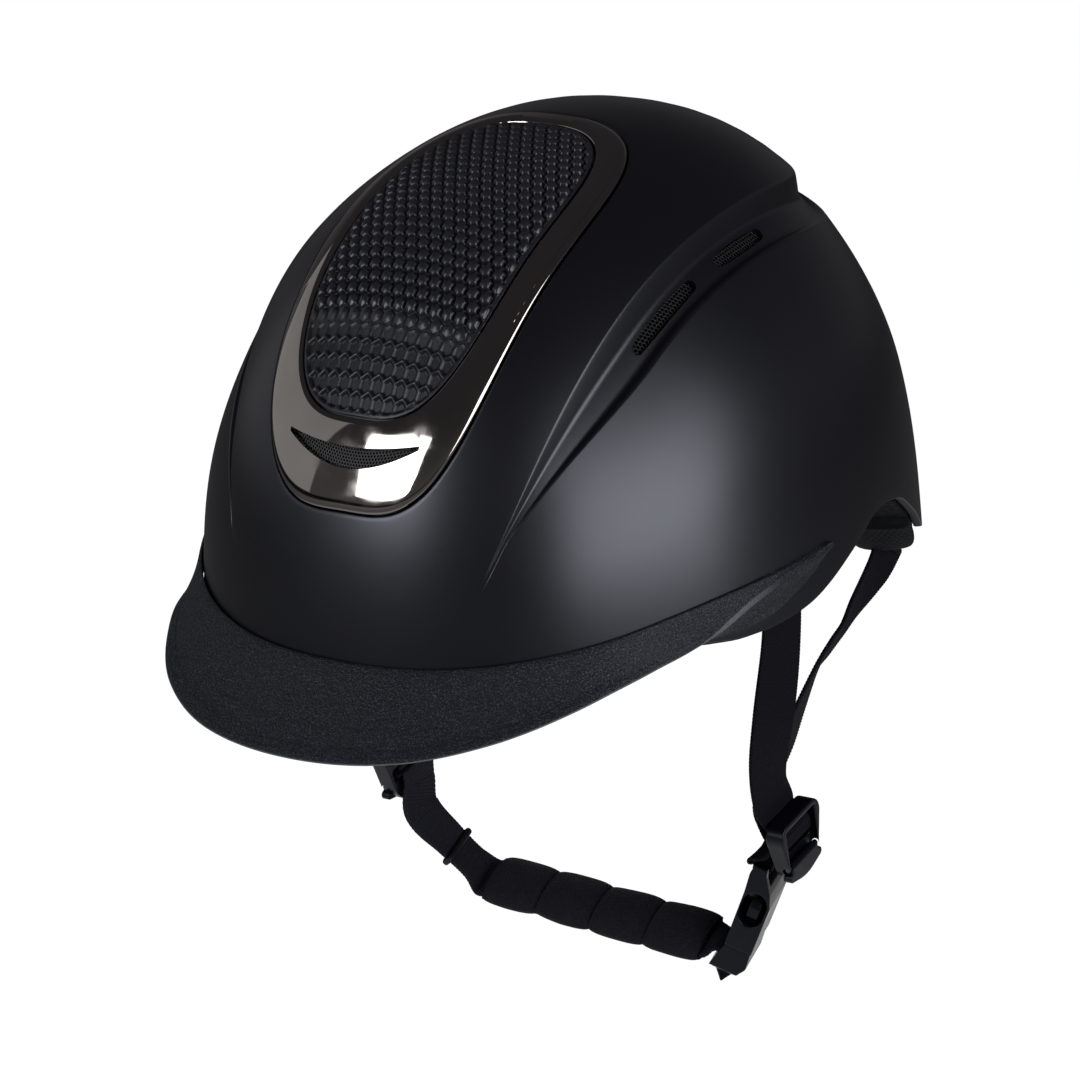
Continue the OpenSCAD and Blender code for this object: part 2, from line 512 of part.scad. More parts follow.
module ribbon(stops) tube(webbing(stops));

// Divider: a frame with two slots, side rails and a pin that carries the cam lever. Its own axes
// are down the strap, across the strap and outward
divider_at = [78.6, 13, -86.3];
divider_tilt = 15;
divider_t = 3;
rail_h = 3.6;
lever_t = 3.2;
divider_w = webbing_w + 8;
over = divider_t / 2 + web_gap + webbing_t / 2;
function on_divider(u, v, n) = divider_at + u * [0, sin(divider_tilt), -cos(divider_tilt)]
    + v * [0, cos(divider_tilt), sin(divider_tilt)] + [n, 0, 0];
module divider_place() translate(divider_at) rotate([divider_tilt, 0, 0]) rotate([0, 90, 0]) children();
pin_u = 3.2;
pin_n = divider_t / 2 + run_gap + lever_t / 2;
pin_r = 1;
lever_end = 9.8;
slots = [[-11.6, -7.2], [-4.4, -0.1]];
module divider_outline() hull() {
    translate([-9.5, divider_w / 2 - 5]) circle(5);
    translate([-9.5, 5 - divider_w / 2]) circle(5);
    translate([0.5, 0]) circle(divider_w / 2 - 2.7);
}
module divider(side) color("#26282d") on_left(side) divider_place() difference() {
    translate([0, 0, -divider_t / 2]) linear_extrude(divider_t + rail_h) divider_outline();
    translate([-12, -webbing_w / 2 - 0.8, divider_t / 2]) cube([40, webbing_w + 1.6, 20]);
    translate([pin_u + 2.2, -20, divider_t / 2]) cube([40, 40, 20]);
    for (u = slots) translate([u[0], -webbing_w / 2 - 0.6, -4])
        cube([u[1] - u[0], webbing_w + 1.2, 12]);
    translate([pin_u, 0, pin_n]) rotate([90, 0, 0]) cylinder(r = pin_r, h = 50, center = true);
}
module divider_left() divider(1);
module divider_right() divider(-1);
module cam_lever(side) color("#2c2f34") on_left(side) divider_place() difference() {
    union() {
        translate([0, 0, divider_t / 2 + run_gap]) linear_extrude(lever_t) {
            hull() {
                translate([pin_u + 3.2, webbing_w / 2 + 0.2]) circle(1.6);
                translate([pin_u + 3.2, -webbing_w / 2 - 0.2]) circle(1.6);
                translate([lever_end - 3.3, 0]) scale([1, 2.4]) circle(3.3);
            }
            translate([pin_u - 0.6, -webbing_w / 2 + 0.3]) square([4.5, webbing_w - 0.6]);
        }
        translate([pin_u, 0, pin_n]) rotate([90, 0, 0])
            cylinder(r = lever_t / 2 - 0.1, h = webbing_w - 1.6, center = true);
    }
    translate([pin_u, 0, pin_n]) rotate([90, 0, 0]) cylinder(r = pin_r + 0.03, h = 40, center = true);
}
module cam_lever_left() cam_lever(1);
module cam_lever_right() cam_lever(-1);
module cam_pins() color("#55585e") for (side = [-1, 1]) on_left(side) divider_place()
    translate([pin_u, 0, pin_n]) rotate([90, 0, 0]) cylinder(r = pin_r - 0.05, h = divider_w - 6.6, center = true);

// Buckle: its own axes are outward, across and up the strap, from the middle of the socket's mouth
buckle_at = [57.7, 19.6, -124.2];
buckle_up = unit([0.37, 0, 0.93]);
buckle_side = unit([-0.3, 0.95, 0] - ([-0.3, 0.95, 0] * buckle_up) * buckle_up);
buckle_out = cross(buckle_side, buckle_up);
function on_buckle(x, y, z) = buckle_at + x * buckle_out + y * buckle_side + z * buckle_up;
module buckle_place() multmatrix([for (i = [0:2])
    [buckle_out[i], buckle_side[i], buckle_up[i], buckle_at[i]]]) children();
// The side profile of the socket is drawn outward against up the strap, with a bent head
head_in = -3;
bar_t = 3.2;
bar_h = 3;
slot_h = 3.4;
over_bar = bar_t / 2 + web_gap + webbing_t / 2;
cavity_w = buckle_w - 6.4;
cavity_t = 5;
window_low = 10;
window_high = 23;
body_l = buckle_l - 9;
module buckle_socket() color("#202227") buckle_place() difference() {
    rotate([90, 0, 0]) linear_extrude(buckle_w, center = true) polygon([
        [buckle_t / 2, 0], [buckle_t / 2, body_l - 5], [buckle_t / 2 - 1.6, body_l],
        [head_in + 3, buckle_l - 3], [head_in + 2.4, buckle_l], [head_in - 2.4, buckle_l],
        [head_in - 3, buckle_l - 4], [-buckle_t / 2 - 0.4, body_l - 2], [-buckle_t / 2, 0]]);
    translate([0, 0, buckle_l - bar_h - slot_h / 2])
        cube([buckle_t * 3, webbing_w + 1.2, slot_h], center = true);
    for (s = [-1, 1]) translate([head_in + s * (bar_t / 2 + 10), 0, buckle_l + 1])
        cube([20, webbing_w + 1.2, 2 * (bar_h + 1) + 0.1], center = true);
    rotate([90, 0, 90]) translate([0, 0, -cavity_t / 2]) linear_extrude(cavity_t) polygon([
        [-cavity_w / 2, -1], [cavity_w / 2, -1], [cavity_w / 2 + 1.3, window_low],
        [cavity_w / 2 + 1.3, window_high - 2], [cavity_w / 2 - 1, window_high],
        [1 - cavity_w / 2, window_high], [-cavity_w / 2 - 1.3, window_high - 2],
        [-cavity_w / 2 - 1.3, window_low]]);
    rotate([90, 0, 0]) linear_extrude(buckle_w * 2, center = true) hull()
        for (z = [window_low + 4.3, window_high - 4.3]) translate([-0.4, z]) circle(4.3, $fn = 32);
}
plug_l = 16.4;
pocket_z = -5.6;
arm_y = 7.2;
arm_root = -2.6;
hook = 3.1;
module buckle_plug() color("#202227") buckle_place() difference() {
    union() {
        rotate([90, 0, 0]) linear_extrude(buckle_w - 3, center = true) polygon([
            [buckle_t / 2 - 0.4, -run_gap], [buckle_t / 2, -7], [buckle_t / 2 - 2.5, -plug_l + 5.4],
            [-1.6, -plug_l], [-buckle_t / 2 - 2.6, -plug_l + 5.4], [-buckle_t / 2 - 0.6, -3],
            [-buckle_t / 2 + 0.4, -run_gap]]);
        translate([0, 0, 5]) cube([cavity_t - 0.8, 4.6, 12], center = true);
    }
    translate([-buckle_t / 2 - 1, 0, pocket_z])
        cube([buckle_t + 2.6, webbing_w + 0.8, webbing_t + 2 * web_gap], center = true);
    for (s = [-1, 1]) translate([0, s * arm_y, -1]) cube([cavity_t - 0.2, 3.4, 3.8], center = true);
    for (s = [-1, 1]) translate([0, s * (buckle_w / 2 + 2), -plug_l]) rotate([s * 32, 0, 0])
        cube([40, 10, 14], center = true);
}
module latch_arm(s) color("#2c2f34") buckle_place() rotate([90, 0, 90])
    translate([0, 0, -cavity_t / 2 + 0.4]) linear_extrude(cavity_t - 0.8) polygon([
        [s * (arm_y - 1.2), arm_root], [s * (arm_y - 1.2), 12], [s * (arm_y - 0.4), 18.6],
        [s * (arm_y + 1), 19.6], [s * (arm_y + hook), 16.4], [s * (arm_y + hook), 12.4],
        [s * (arm_y + 1.4), 11.2], [s * (arm_y + 1.2), arm_root]]);
module latch_arm_front() latch_arm(-1);
module latch_arm_rear() latch_arm(1);

// Straps of the harness, from the liner through the dividers to the buckle and the chin pad
across = [0, cos(divider_tilt), sin(divider_tilt)];
strap_f = 92;
strap_lift = pad_gap + webbing_t / 2 + 0.9;
along_liner = unit(inside(strap_f + 3, 74, 2) - inside(strap_f - 3, 74, 2));
front_top = [[inside(strap_f, 73.4, strap_lift), along_liner], [inside(strap_f, 77, strap_lift), along_liner],
    [inside(strap_f - 1, 81, strap_lift + 0.4), [0.16, 1, 0]], [[83.6, -5, -10], [0.26, 0.96, 0]],
    [[83.4, -9, -34], [0.34, 0.94, 0]], [[81, -7.6, -49], [0.25, 0.96, 0.1]], [[78.2, -1.4, -63], [0.1, 1, 0.2]],
    [on_divider(-13, 0, -over - 0.1), across], [on_divider(-10.8, 0, -over + 0.5), across],
    [on_divider(-9.4, 0, 0), across], [on_divider(-8, 0, over - 0.3), across],
    [on_divider(-5.8, 0, over), across], [on_divider(-3.6, 0, over - 0.3), across],
    [on_divider(-2.6, 0, 0), across], [on_divider(-2, 0, -over - 0.2), across]];
front_low = [[on_divider(0.6, 0, -over - 3), across],
    [on_buckle(head_in - over_bar - 0.4, 0, buckle_l + 1), buckle_side], [on_buckle(head_in - over_bar, 0, buckle_l - 1.4), buckle_side],
    [on_buckle(head_in - 2.55, 0, buckle_l - 2.8), buckle_side], [on_buckle(head_in - 1.7, 0, buckle_l - 4.3), buckle_side],
    [on_buckle(head_in, 0, buckle_l - 4.95), buckle_side], [on_buckle(head_in + 1.7, 0, buckle_l - 4.3), buckle_side],
    [on_buckle(head_in + 2.55, 0, buckle_l - 2.8), buckle_side], [on_buckle(head_in + over_bar, 0, buckle_l - 1.4), buckle_side],
    [on_buckle(head_in + over_bar, 0, buckle_l + 1.4), buckle_side]];
module front_strap_left() color("#2a2b30") ribbon(concat(front_top, front_low));
module front_strap_right() color("#2a2b30") on_left(-1) ribbon(front_top);
rear_stops = [[[71, 90.2, -2.4], [0, 0.85, -0.5]], [[71.2, 86.2, -5], [0, 0.7, -0.7]],
    [[71.8, 80, -8], [0, 0.5, -0.87]], [[73.5, 67, -12.5], [-0.1, 0.36, -0.93]],
    [[75, 55.4, -17.3], [-0.25, 0.38, -0.88]], [[76, 46.3, -21.7], [-0.42, 0.38, -0.82]],
    [[76.5, 37.5, -25], [-0.51, 0.38, -0.77]], [[77, 30, -30], [-0.5, 0.45, -0.73]],
    [[77, 22, -38], [-0.35, 0.75, -0.55]], [[76.4, 14, -48], [-0.1, 0.97, -0.2]],
    [[73.8, 5, -62.5], [0, 1, 0.2]], [on_divider(-14, 0.3, -over - 4.2), across],
    [on_divider(-9, 0.2, -over - 2.8), across], [on_divider(-5, 0, -over - 0.9), across]];
module rear_strap(side) color("#2a2b30") on_left(side) ribbon(rear_stops);
module rear_strap_left() rear_strap(1);
module rear_strap_right() rear_strap(-1);
// A box round a strap's end: size across, through and along the strap
module strap_box(stop, size) {
    t = unit([0, -0.7, -0.7]);
    s = unit(stop[1] - (stop[1] * t) * t);
    m = cross(t, s);
    o = stop[0];
    multmatrix([for (k = [0:2]) [s[k], m[k], t[k], o[k]]]) cube(size, center = true);
}
// Each strap's top is held to the liner by a plate: in front with a foot above the strap's end,
// at the back with a slot round it
module harness_anchors() color("#303238") for (side = [-1, 1]) on_left(side) {
    held = strap_lift + webbing_t / 2 + 0.3;
    tube([for (i = [-4:4]) [for (c = [[71, pad_gap - 0.4], [71, held + 1.6], [76, held + 1.6],
        [76, held], [72.6, held], [72.6, pad_gap - 0.4]]) inside(strap_f + 1.9 * i, c[0], c[1])]]);
    difference() {
        union() {
            strap_box(rear_stops[0], [webbing_w + 2.6, webbing_t + 3, 3]);
            tube([for (f = [139:142]) [for (c = [[0.9, -11.5], [0.9, -14.5], [3.8, -14.5], [3.8, -11.5]])
                nape_point(180 - f, liner_below + c[0] - 0.7, c[1])]]);
        }
        strap_box(rear_stops[0], [webbing_w + 1, webbing_t + 0.6, 8]);
    }
}

// Chin strap: straight through the pad, with a free stretch up to the right-hand divider
chin_near = [45.6, 17, -127.4];
chin_far = [-50, 25.4, -126];
chin_side = unit([0, -0.88, -0.48]);
function on_pad(t) = mix(chin_near, chin_far, t);
chin_stops = [[on_buckle(-1, 0, pocket_z), -buckle_side], [on_buckle(-4, 0, pocket_z), -buckle_side],
    [on_buckle(-7.2, 0, pocket_z), -buckle_side], [on_pad(0.005), chin_side],
    [on_pad(0.03), chin_side], [on_pad(0.5), chin_side], [on_pad(0.985), chin_side],
    [on_pad(1.03), [0.03, -0.9, -0.45]], [[-57, 23.4, -121], [0.16, -0.96, -0.2]],
    [[-65, 19.4, -112], [0.1, -0.97, -0.2]], [[-73.2, 14.5, -101], [0, -0.95, -0.31]],
    [[-75.2, 16, -91.5], [0, -1, -0.25]]];
chin_split = 21;
chin_path = webbing(chin_stops);
module chin_strap() color("#2a2b30") tube([for (i = [0:chin_split]) chin_path[i]]);
module chin_strap_far() color("#2a2b30") tube([for (i = [chin_split:len(chin_path) - 1]) chin_path[i]]);
function clip(x) = min(max(x, -1), 1);
function puff(t) = let(u = t * puffs - floor(t * puffs * 0.9999)) 0.45 + 0.55 * max(1 - (2 * u - 1)^4, 0)^0.5;
module chin_pad() color("#26272b") {
    run = unit(chin_far - chin_near);
    lift = unit(cross(run, chin_side));
    n = 5 * puffs;
    half_w = webbing_w / 2 + 1.2;
    half_t = webbing_t / 2 + 1;
    outer = [for (i = [0:n]) let(t = i / n, k = i == 0 || i == n ? 0.3 : puff(t),
        c = mix(chin_near, chin_far, 0.01 + 0.98 * t)) [for (a = [330:-30:0])
            c + chin_side * cos(a) * mix(half_w, chin_pad_w / 2, k)
            + lift * sin(a) * mix(half_t, chin_pad_t / 2, k)]];
    inner = [for (i = [0, n]) let(c = mix(chin_near, chin_far, 0.01 + 0.98 * i / n)) [for (a = [330:-30:0])
        c + chin_side * clip(1.2 * cos(a)) * (webbing_w / 2 + 0.4)
        + lift * clip(2.1 * sin(a)) * (webbing_t / 2 + 0.35)]];
    loop(concat(outer, [inner[1], inner[0]]));
}
keeper_w = 3.4;
module strap_keeper() color("#1b1c1f") {
    i = 26;
    t = unit(middle(chin_path[i + 1]) - middle(chin_path[i - 1]));
    s = unit(chin_path[i][0] - chin_path[i][3]);
    m = cross(t, s);
    o = middle(chin_path[i]);
    multmatrix([for (k = [0:2]) [s[k], m[k], t[k], o[k]]]) linear_extrude(keeper_w, center = true)
        difference() {
            square([webbing_w + 3.6, webbing_t + 3.4], center = true);
            square([webbing_w + 1.2, webbing_t + 1.2], center = true);
        }
}

outer_shell();
trim_frame();
grille_panel();
front_vent_mesh();
side_vent_mesh_left();
side_vent_mesh_right();
rear_vent_mesh();
peak();
peak_lining();
impact_liner();
brow_pad();
crown_pad();
side_pad_left();
side_pad_right();
nape_pad();
fit_band_left();
fit_band_right();
nape_cradle();
cradle_pad();
dial_axle();
fit_dial();
harness_anchors();
front_strap_left();
front_strap_right();
rear_strap_left();
rear_strap_right();
divider_left();
divider_right();
cam_lever_left();
cam_lever_right();
cam_pins();
buckle_socket();
buckle_plug();
latch_arm_front();
latch_arm_rear();
chin_strap();
chin_strap_far();
chin_pad();
strap_keeper();
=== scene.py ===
# %% [markdown]
# # A riding helmet
# The CAD model is loaded first as a fixed frame. Each visible piece is then made again in finer
# form, in the same place, and rides on the same moving body. All sizes from the CAD are in
# millimetres here and are turned into metres when a mesh is made.

# %% Load the frame
import json
import bmesh
import bpy
import numpy as np
from mathutils import Matrix, Vector
from mathutils.kdtree import KDTree


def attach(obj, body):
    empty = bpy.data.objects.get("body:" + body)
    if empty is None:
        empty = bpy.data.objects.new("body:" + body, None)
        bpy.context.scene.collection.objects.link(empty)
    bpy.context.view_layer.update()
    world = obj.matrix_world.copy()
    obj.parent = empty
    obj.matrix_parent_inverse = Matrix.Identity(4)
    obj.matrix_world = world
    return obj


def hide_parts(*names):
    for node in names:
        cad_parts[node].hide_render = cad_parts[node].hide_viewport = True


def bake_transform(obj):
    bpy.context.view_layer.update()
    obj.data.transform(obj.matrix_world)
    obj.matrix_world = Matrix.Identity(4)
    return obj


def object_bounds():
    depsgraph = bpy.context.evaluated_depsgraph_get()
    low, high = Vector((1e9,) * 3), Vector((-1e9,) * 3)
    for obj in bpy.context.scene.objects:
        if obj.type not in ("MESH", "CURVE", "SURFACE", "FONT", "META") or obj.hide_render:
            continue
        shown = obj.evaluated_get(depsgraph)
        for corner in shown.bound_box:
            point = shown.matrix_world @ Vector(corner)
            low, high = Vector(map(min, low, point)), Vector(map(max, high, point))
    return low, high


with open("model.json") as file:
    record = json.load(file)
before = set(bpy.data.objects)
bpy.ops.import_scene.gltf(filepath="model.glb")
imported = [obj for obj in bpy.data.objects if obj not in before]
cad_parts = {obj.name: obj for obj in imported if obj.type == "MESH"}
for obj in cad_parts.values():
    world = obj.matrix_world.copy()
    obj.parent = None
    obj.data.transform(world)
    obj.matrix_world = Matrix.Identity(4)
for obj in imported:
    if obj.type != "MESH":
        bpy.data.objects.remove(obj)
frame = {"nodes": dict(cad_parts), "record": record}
cad_box = [list(corner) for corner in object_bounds()]
body_of = {node: body for body, nodes in frame["record"]["behaviour"]["bodies"].items() for node in nodes}
print("CAD box in metres", cad_box)

def add_object(name, data):
    made = bpy.data.objects.new(name, data)
    bpy.context.scene.collection.objects.link(made)
    return made

# %% [markdown]
# ## Camera
# The view is from the wearer's left of the front and a little above. The lens is long, because
# the real picture has almost no perspective. The small shift only frames the helmet.

# %% Camera
view_right = Vector((0.84566, 0.53371, -0.00044))
view_up = Vector((-0.14535, 0.23111, 0.96201))
view_back = Vector((0.51354, -0.81347, 0.27301))
camera = bpy.data.cameras.new("camera")
camera.lens, camera.sensor_width = 147.55, 36
camera.shift_x, camera.shift_y = -0.0314, 0.0327
camera.clip_end = 100
CAMERA_FAR = 1.5
eye = add_object("camera", camera)
turned = Matrix((view_right, view_up, view_back)).transposed().to_4x4()
eye.matrix_world = Matrix.Translation(view_back * CAMERA_FAR) @ turned
bpy.context.scene.camera = eye
bpy.context.scene.view_settings.view_transform = "Standard"
print("camera at", [round(v, 3) for v in eye.matrix_world.translation])

# %% [markdown]
# ## Node helper
# Materials and Geometry Nodes trees are both made of nodes. One small class wraps a socket, so
# that sums on it read as plain maths, and one function adds any other node: its settings are
# set first, then the values or links of its sockets. Colours are written as red, green and blue.

# %% Node helper
class Value:
    def __init__(self, tree, socket):
        self.tree, self.socket = tree, socket
    def apply(self, how, other=0.0, turned=False):
        a, b = (other, self) if turned else (self, other)
        return add_node(self.tree, "ShaderNodeMath", {"operation": how}, {0: a, 1: b})
    def __add__(self, other):
        return self.apply("ADD", other)
    def __sub__(self, other):
        return self.apply("SUBTRACT", other)
    def __rsub__(self, other):
        return self.apply("SUBTRACT", other, turned=True)
    def __mul__(self, other):
        return self.apply("MULTIPLY", other)
    def __truediv__(self, other):
        return self.apply("DIVIDE", other)
    def __pow__(self, other):
        return self.apply("POWER", other)
    def __abs__(self):
        return self.apply("ABSOLUTE")
    __radd__, __rmul__ = __add__, __mul__
    def part(self, axis):
        return add_node(self.tree, "ShaderNodeSeparateXYZ", None, {0: self}, axis)
    def step(self, low, high):
        return add_node(self.tree, "ShaderNodeMapRange", {"interpolation_type": "SMOOTHSTEP"},
                        {0: self, 1: low, 2: high, 3: 0.0, 4: 1.0})

def add_node(tree, kind, settings=None, inputs=None, out=0):
    node = tree.nodes.new(kind)
    for name, setting in (settings or {}).items():
        setattr(node, name, setting)
    for key, value in (inputs or {}).items():
        if isinstance(value, Value):
            tree.links.new(value.socket, node.inputs[key])
        else:
            node.inputs[key].default_value = value
    return Value(tree, node.outputs[out])

def blend_colour(tree, a, b, share):
    a, b = [c if isinstance(c, Value) else (*c, 1) for c in (a, b)]
    return add_node(tree, "ShaderNodeMix", {"data_type": "RGBA"}, {0: share, 6: a, 7: b}, 2)

def ray_is(tree, kind):
    return add_node(tree, "ShaderNodeLightPath", out=f"Is {kind} Ray")

# %% [markdown]
# ## Floor, world and lamps
# A dark satin shell is read by what it mirrors. The studio is dim overhead and paler towards the
# horizon, with one broad soft box at the wearer's left and a smaller one in front. Their places
# come from where the sheen lies on the shell. The floor is white and keeps a soft shadow. It lies
# low enough for the buckle's plug to be pulled out above it. Sky and floor show white to the
# camera, while the shell mirrors only a lit patch of the floor and a dim sky.

# %% Floor and world
FLOOR_DROP, HALF, WHITE = 0.024, 30, (1, 1, 1)
floor_z = cad_box[0][2] - FLOOR_DROP
corners = [(-HALF, -HALF, floor_z), (HALF, -HALF, floor_z), (HALF, HALF, floor_z), (-HALF, HALF, floor_z)]
floor_mesh = bpy.data.meshes.new("floor")
floor_mesh.from_pydata(corners, [], [(0, 1, 2, 3)])
floor = add_object("floor", floor_mesh)
floor_paint = bpy.data.materials.new("floor_paint")
floor_paint.use_nodes = True
tree = floor_paint.node_tree
tree.nodes.clear()
seen, mirrored, through = [ray_is(tree, ray) for ray in ("Camera", "Glossy", "Transmission")]
spot = add_node(tree, "ShaderNodeTexCoord", None, None, "Object")
far = add_node(tree, "ShaderNodeVectorMath", {"operation": "LENGTH"}, {0: spot}, "Value")
lit_patch = 1 - far.step(0.12, 0.5)
share = seen.apply("MAXIMUM", mirrored.apply("MAXIMUM", through) * lit_patch) * 0.9
paper = blend_colour(tree, (0.16,) * 3, (0.9,) * 3, seen)
plain = add_node(tree, "ShaderNodeBsdfDiffuse", None, {"Color": paper})
glow = add_node(tree, "ShaderNodeEmission", None, {"Color": (*WHITE, 1), "Strength": 1.09})
both = add_node(tree, "ShaderNodeMixShader", None, {0: share, 1: plain, 2: glow})
tree.links.new(both.socket, tree.nodes.new("ShaderNodeOutputMaterial").inputs[0])
floor_mesh.materials.append(floor_paint)

world = bpy.data.worlds.new("studio")
bpy.context.scene.world = world
world.use_nodes = True
tree = world.node_tree
heading = add_node(tree, "ShaderNodeTexCoord", None, None, "Generated")
sky = blend_colour(tree, (0.105, 0.103, 0.106), (0.042, 0.041, 0.043), heading.part(2).step(0.05, 0.6))
sky = blend_colour(tree, sky, WHITE, ray_is(tree, "Camera"))
tree.links.new(sky.socket, tree.nodes["Background"].inputs["Color"])

def soft_box(name, bearing, rise, distance, size, power, glossy=True):
    b, e = np.radians(bearing), np.radians(rise)
    way = Vector((np.sin(b) * np.cos(e), -np.cos(b) * np.cos(e), np.sin(e)))
    lamp = bpy.data.lights.new(name, "AREA")
    lamp.shape, lamp.size, lamp.size_y, lamp.energy = "RECTANGLE", size[0], size[1], power
    box = add_object(name, lamp)
    box.location = way * distance
    box.rotation_euler = way.to_track_quat("Z", "Y").to_euler()
    box.visible_glossy = glossy
    print(name, "at", [round(v, 2) for v in box.location])

soft_box("side_box", 80, 10, 1.7, (1.7, 1.15), 30)
soft_box("front_box", -16, 18, 1.9, (0.8, 0.74), 14.5)
soft_box("far_box", -72, 20, 2.2, (2.4, 1.4), 3.6)
soft_box("top_box", 0, 88, 2.4, (2.2, 2.2), 26, glossy=False)

# %% [markdown]
# ## Finishes
# Every finish starts from one class. It holds the material, reads the piece's own object
# coordinates in metres, and adds noise, cells or bump at sizes given in millimetres.

# %% The class for a finish
finishes = {}

class Finish:
    def __init__(self, name, **shader):
        finishes[name] = self
        self.material = bpy.data.materials.new(name)
        self.material.use_nodes = True
        self.tree = self.material.node_tree
        self.shader = self.tree.nodes["Principled BSDF"]
        for socket, value in shader.items():
            self.shader.inputs[socket.replace("_", " ")].default_value = value
        self.spot = self.node("ShaderNodeTexCoord", out="Object")
    def node(self, kind, settings=None, inputs=None, out=0):
        return add_node(self.tree, kind, settings, inputs, out)
    def noise(self, size, detail):
        return self.node("ShaderNodeTexNoise", None, {"Vector": self.spot, "Scale": 1000 / size, "Detail": detail})
    def cells(self, size, feature="F1"):
        return self.node("ShaderNodeTexVoronoi", {"feature": feature}, {"Vector": self.spot, "Scale": 1000 / size})
    def attribute(self, name, out="Fac"):
        return self.node("ShaderNodeAttribute", {"attribute_name": name}, None, out)
    def blend(self, a, b, share):
        return blend_colour(self.tree, a, b, share)
    def feed(self, socket, value):
        self.tree.links.new(value.socket, self.shader.inputs[socket])
    def colour(self, a, b, share):
        self.feed("Base Color", self.blend(a, b, share))
    def bump(self, height, depth):
        bumped = self.node("ShaderNodeBump", None, {"Height": height, "Distance": depth / 1000, "Strength": 1.0})
        self.feed("Normal", bumped)

# %% [markdown]
# ### Painted shell
# The shell is sprayed with a matt black that dries to a very fine skin. A little noise in the
# roughness breaks the sheen up, and a faint bump gives the sprayed surface.

# %% Shell paint
paint = Finish("shell_paint", Specular_IOR_Level=0.6, Specular_Tint=(0.84, 0.87, 1.0, 1))
mist = paint.noise(38, 3)
speck = paint.noise(0.55, 2)
paint.colour((0.0018, 0.0017, 0.003), (0.0028, 0.0027, 0.0044), mist)
paint.feed("Roughness", 0.305 + 0.03 * mist + 0.04 * speck + 0.5 * paint.attribute("raw_edge"))
paint.bump(speck, 0.012)

# %% [markdown]
# ### Smoked chrome
# The trim is plated in a dark warm chrome. It is a true metal, almost smooth, with a faint
# ripple in the plating and dull finger marks.

# %% Trim metal
chrome = Finish("trim_metal", Metallic=1.0)
smudge = chrome.noise(14, 3)
ripple = chrome.noise(26, 1)
chrome.colour((0.3, 0.28, 0.262), (0.38, 0.355, 0.335), smudge)
chrome.feed("Roughness", 0.045 + 0.11 * smudge.step(0.5, 0.75))
chrome.bump(ripple, 0.12)

# %% [markdown]
# ### Rubber of the honeycomb panel
# The panel is moulded soft plastic. Its ridges and domes are polished by touch, and the pockets
# stay matt, so the roughness follows the height that the panel's own attribute carries. The
# colour follows it too: pockets and gaps are painted darker, as painted shade.

# %% Panel rubber
rubber = Finish("panel_rubber", Specular_IOR_Level=0.55, Specular_Tint=(0.88, 0.9, 1.0, 1))
grain = rubber.noise(0.35, 2)
raised = rubber.attribute("raised")
# Pockets and gaps are painted near black as painted shade, and the tops stay paler.
rubber.colour((0.0006, 0.0006, 0.0009), (0.0085, 0.0085, 0.0108), raised)
rubber.feed("Roughness", 0.5 - 0.2 * raised + 0.06 * grain)
rubber.bump(grain, 0.03)

# %% [markdown]
# ### Vent mesh, peak and lining
# The mesh is fine black wire. The peak is moulded with a coarse grain that glitters a little.
# Its lining is brushed cloth.

# %% Mesh, peak and lining
wire = Finish("vent_mesh", Specular_IOR_Level=0.35)
wire_wear = wire.noise(0.8, 2)
# The front net is painted paler: painted light where it is lit.
front_painted_light = 1 - wire.spot.part(1).step(-0.12, -0.08)
dull = wire.blend((0.004, 0.004, 0.0046), (0.02, 0.02, 0.022), wire_wear)
wire.colour(dull, (0.085, 0.085, 0.09), front_painted_light * 0.8)
wire.feed("Roughness", 0.32 + 0.2 * wire_wear)

peak_skin = Finish("peak_texture", Specular_IOR_Level=0.27, Specular_Tint=(0.84, 0.88, 1.0, 1))
pebble = peak_skin.cells(0.8)
sand = peak_skin.noise(0.5, 3)
glint = sand.step(0.5, 0.72)
grained = peak_skin.blend((0.0056, 0.0062, 0.0088), (0.04, 0.044, 0.056), glint)
# The paler line on the bead along the lower edge is a painted highlight.
peak_skin.colour(grained, (0.12, 0.125, 0.14), peak_skin.attribute("bead") * 0.75)
peak_skin.feed("Roughness", 0.5 - 0.16 * glint)
peak_skin.bump(pebble * 0.7 + sand, 0.3)

felt = Finish("peak_lining", Sheen_Weight=0.4, Sheen_Roughness=0.5)
fuzz = felt.noise(0.5, 4)
felt.colour((0.008, 0.008, 0.009), (0.02, 0.02, 0.022), fuzz)
felt.feed("Roughness", 0.85 + 0.1 * fuzz)
felt.bump(fuzz, 0.2)

# %% [markdown]
# ### Foam, pads and straps
# The liner is expanded foam: beads of two to three millimetres pressed together. The pads are
# covered in a fine knit, and the nape pad in spacer mesh with rows of holes. Webbing has ribs
# across it and a binding thread along it, and its pattern follows the strap through the piece's
# own map. The chin strap is the same webbing painted paler, as painted light for the light that
# falls on it from the front.

# %% Foam and cloths
foam = Finish("liner_foam", Specular_IOR_Level=0.05)
BEAD_SIZE = 2.6
bead = foam.cells(BEAD_SIZE)
bead_edge = foam.cells(BEAD_SIZE, "DISTANCE_TO_EDGE")
foam.colour((0.0015, 0.0015, 0.002), (0.0055, 0.0056, 0.0068), bead_edge.step(0.0, 0.12))
foam.feed("Roughness", 0.6 + 0.2 * bead)
foam.bump(bead_edge.step(0.0, 0.25), 0.25)

def knit(name, dark, light, size, depth, sheen):
    cloth = Finish(name, Sheen_Weight=sheen, Sheen_Roughness=0.45, Specular_IOR_Level=0.18)
    stitch = cloth.cells(size, "SMOOTH_F1")
    lint = cloth.noise(size * 3.5, 3)
    cloth.colour(light, dark, stitch.step(0.15, 0.7) * 0.8 + lint * 0.2)
    cloth.feed("Roughness", 0.78 + 0.15 * lint)
    cloth.bump(1 - stitch, depth)

knit("pad_fabric", (0.006, 0.006, 0.007), (0.022, 0.022, 0.025), 0.8, 0.25, 0.3)
knit("chin_fabric", (0.0034, 0.0031, 0.0055), (0.0088, 0.0083, 0.0138), 0.75, 0.28, 0.05)

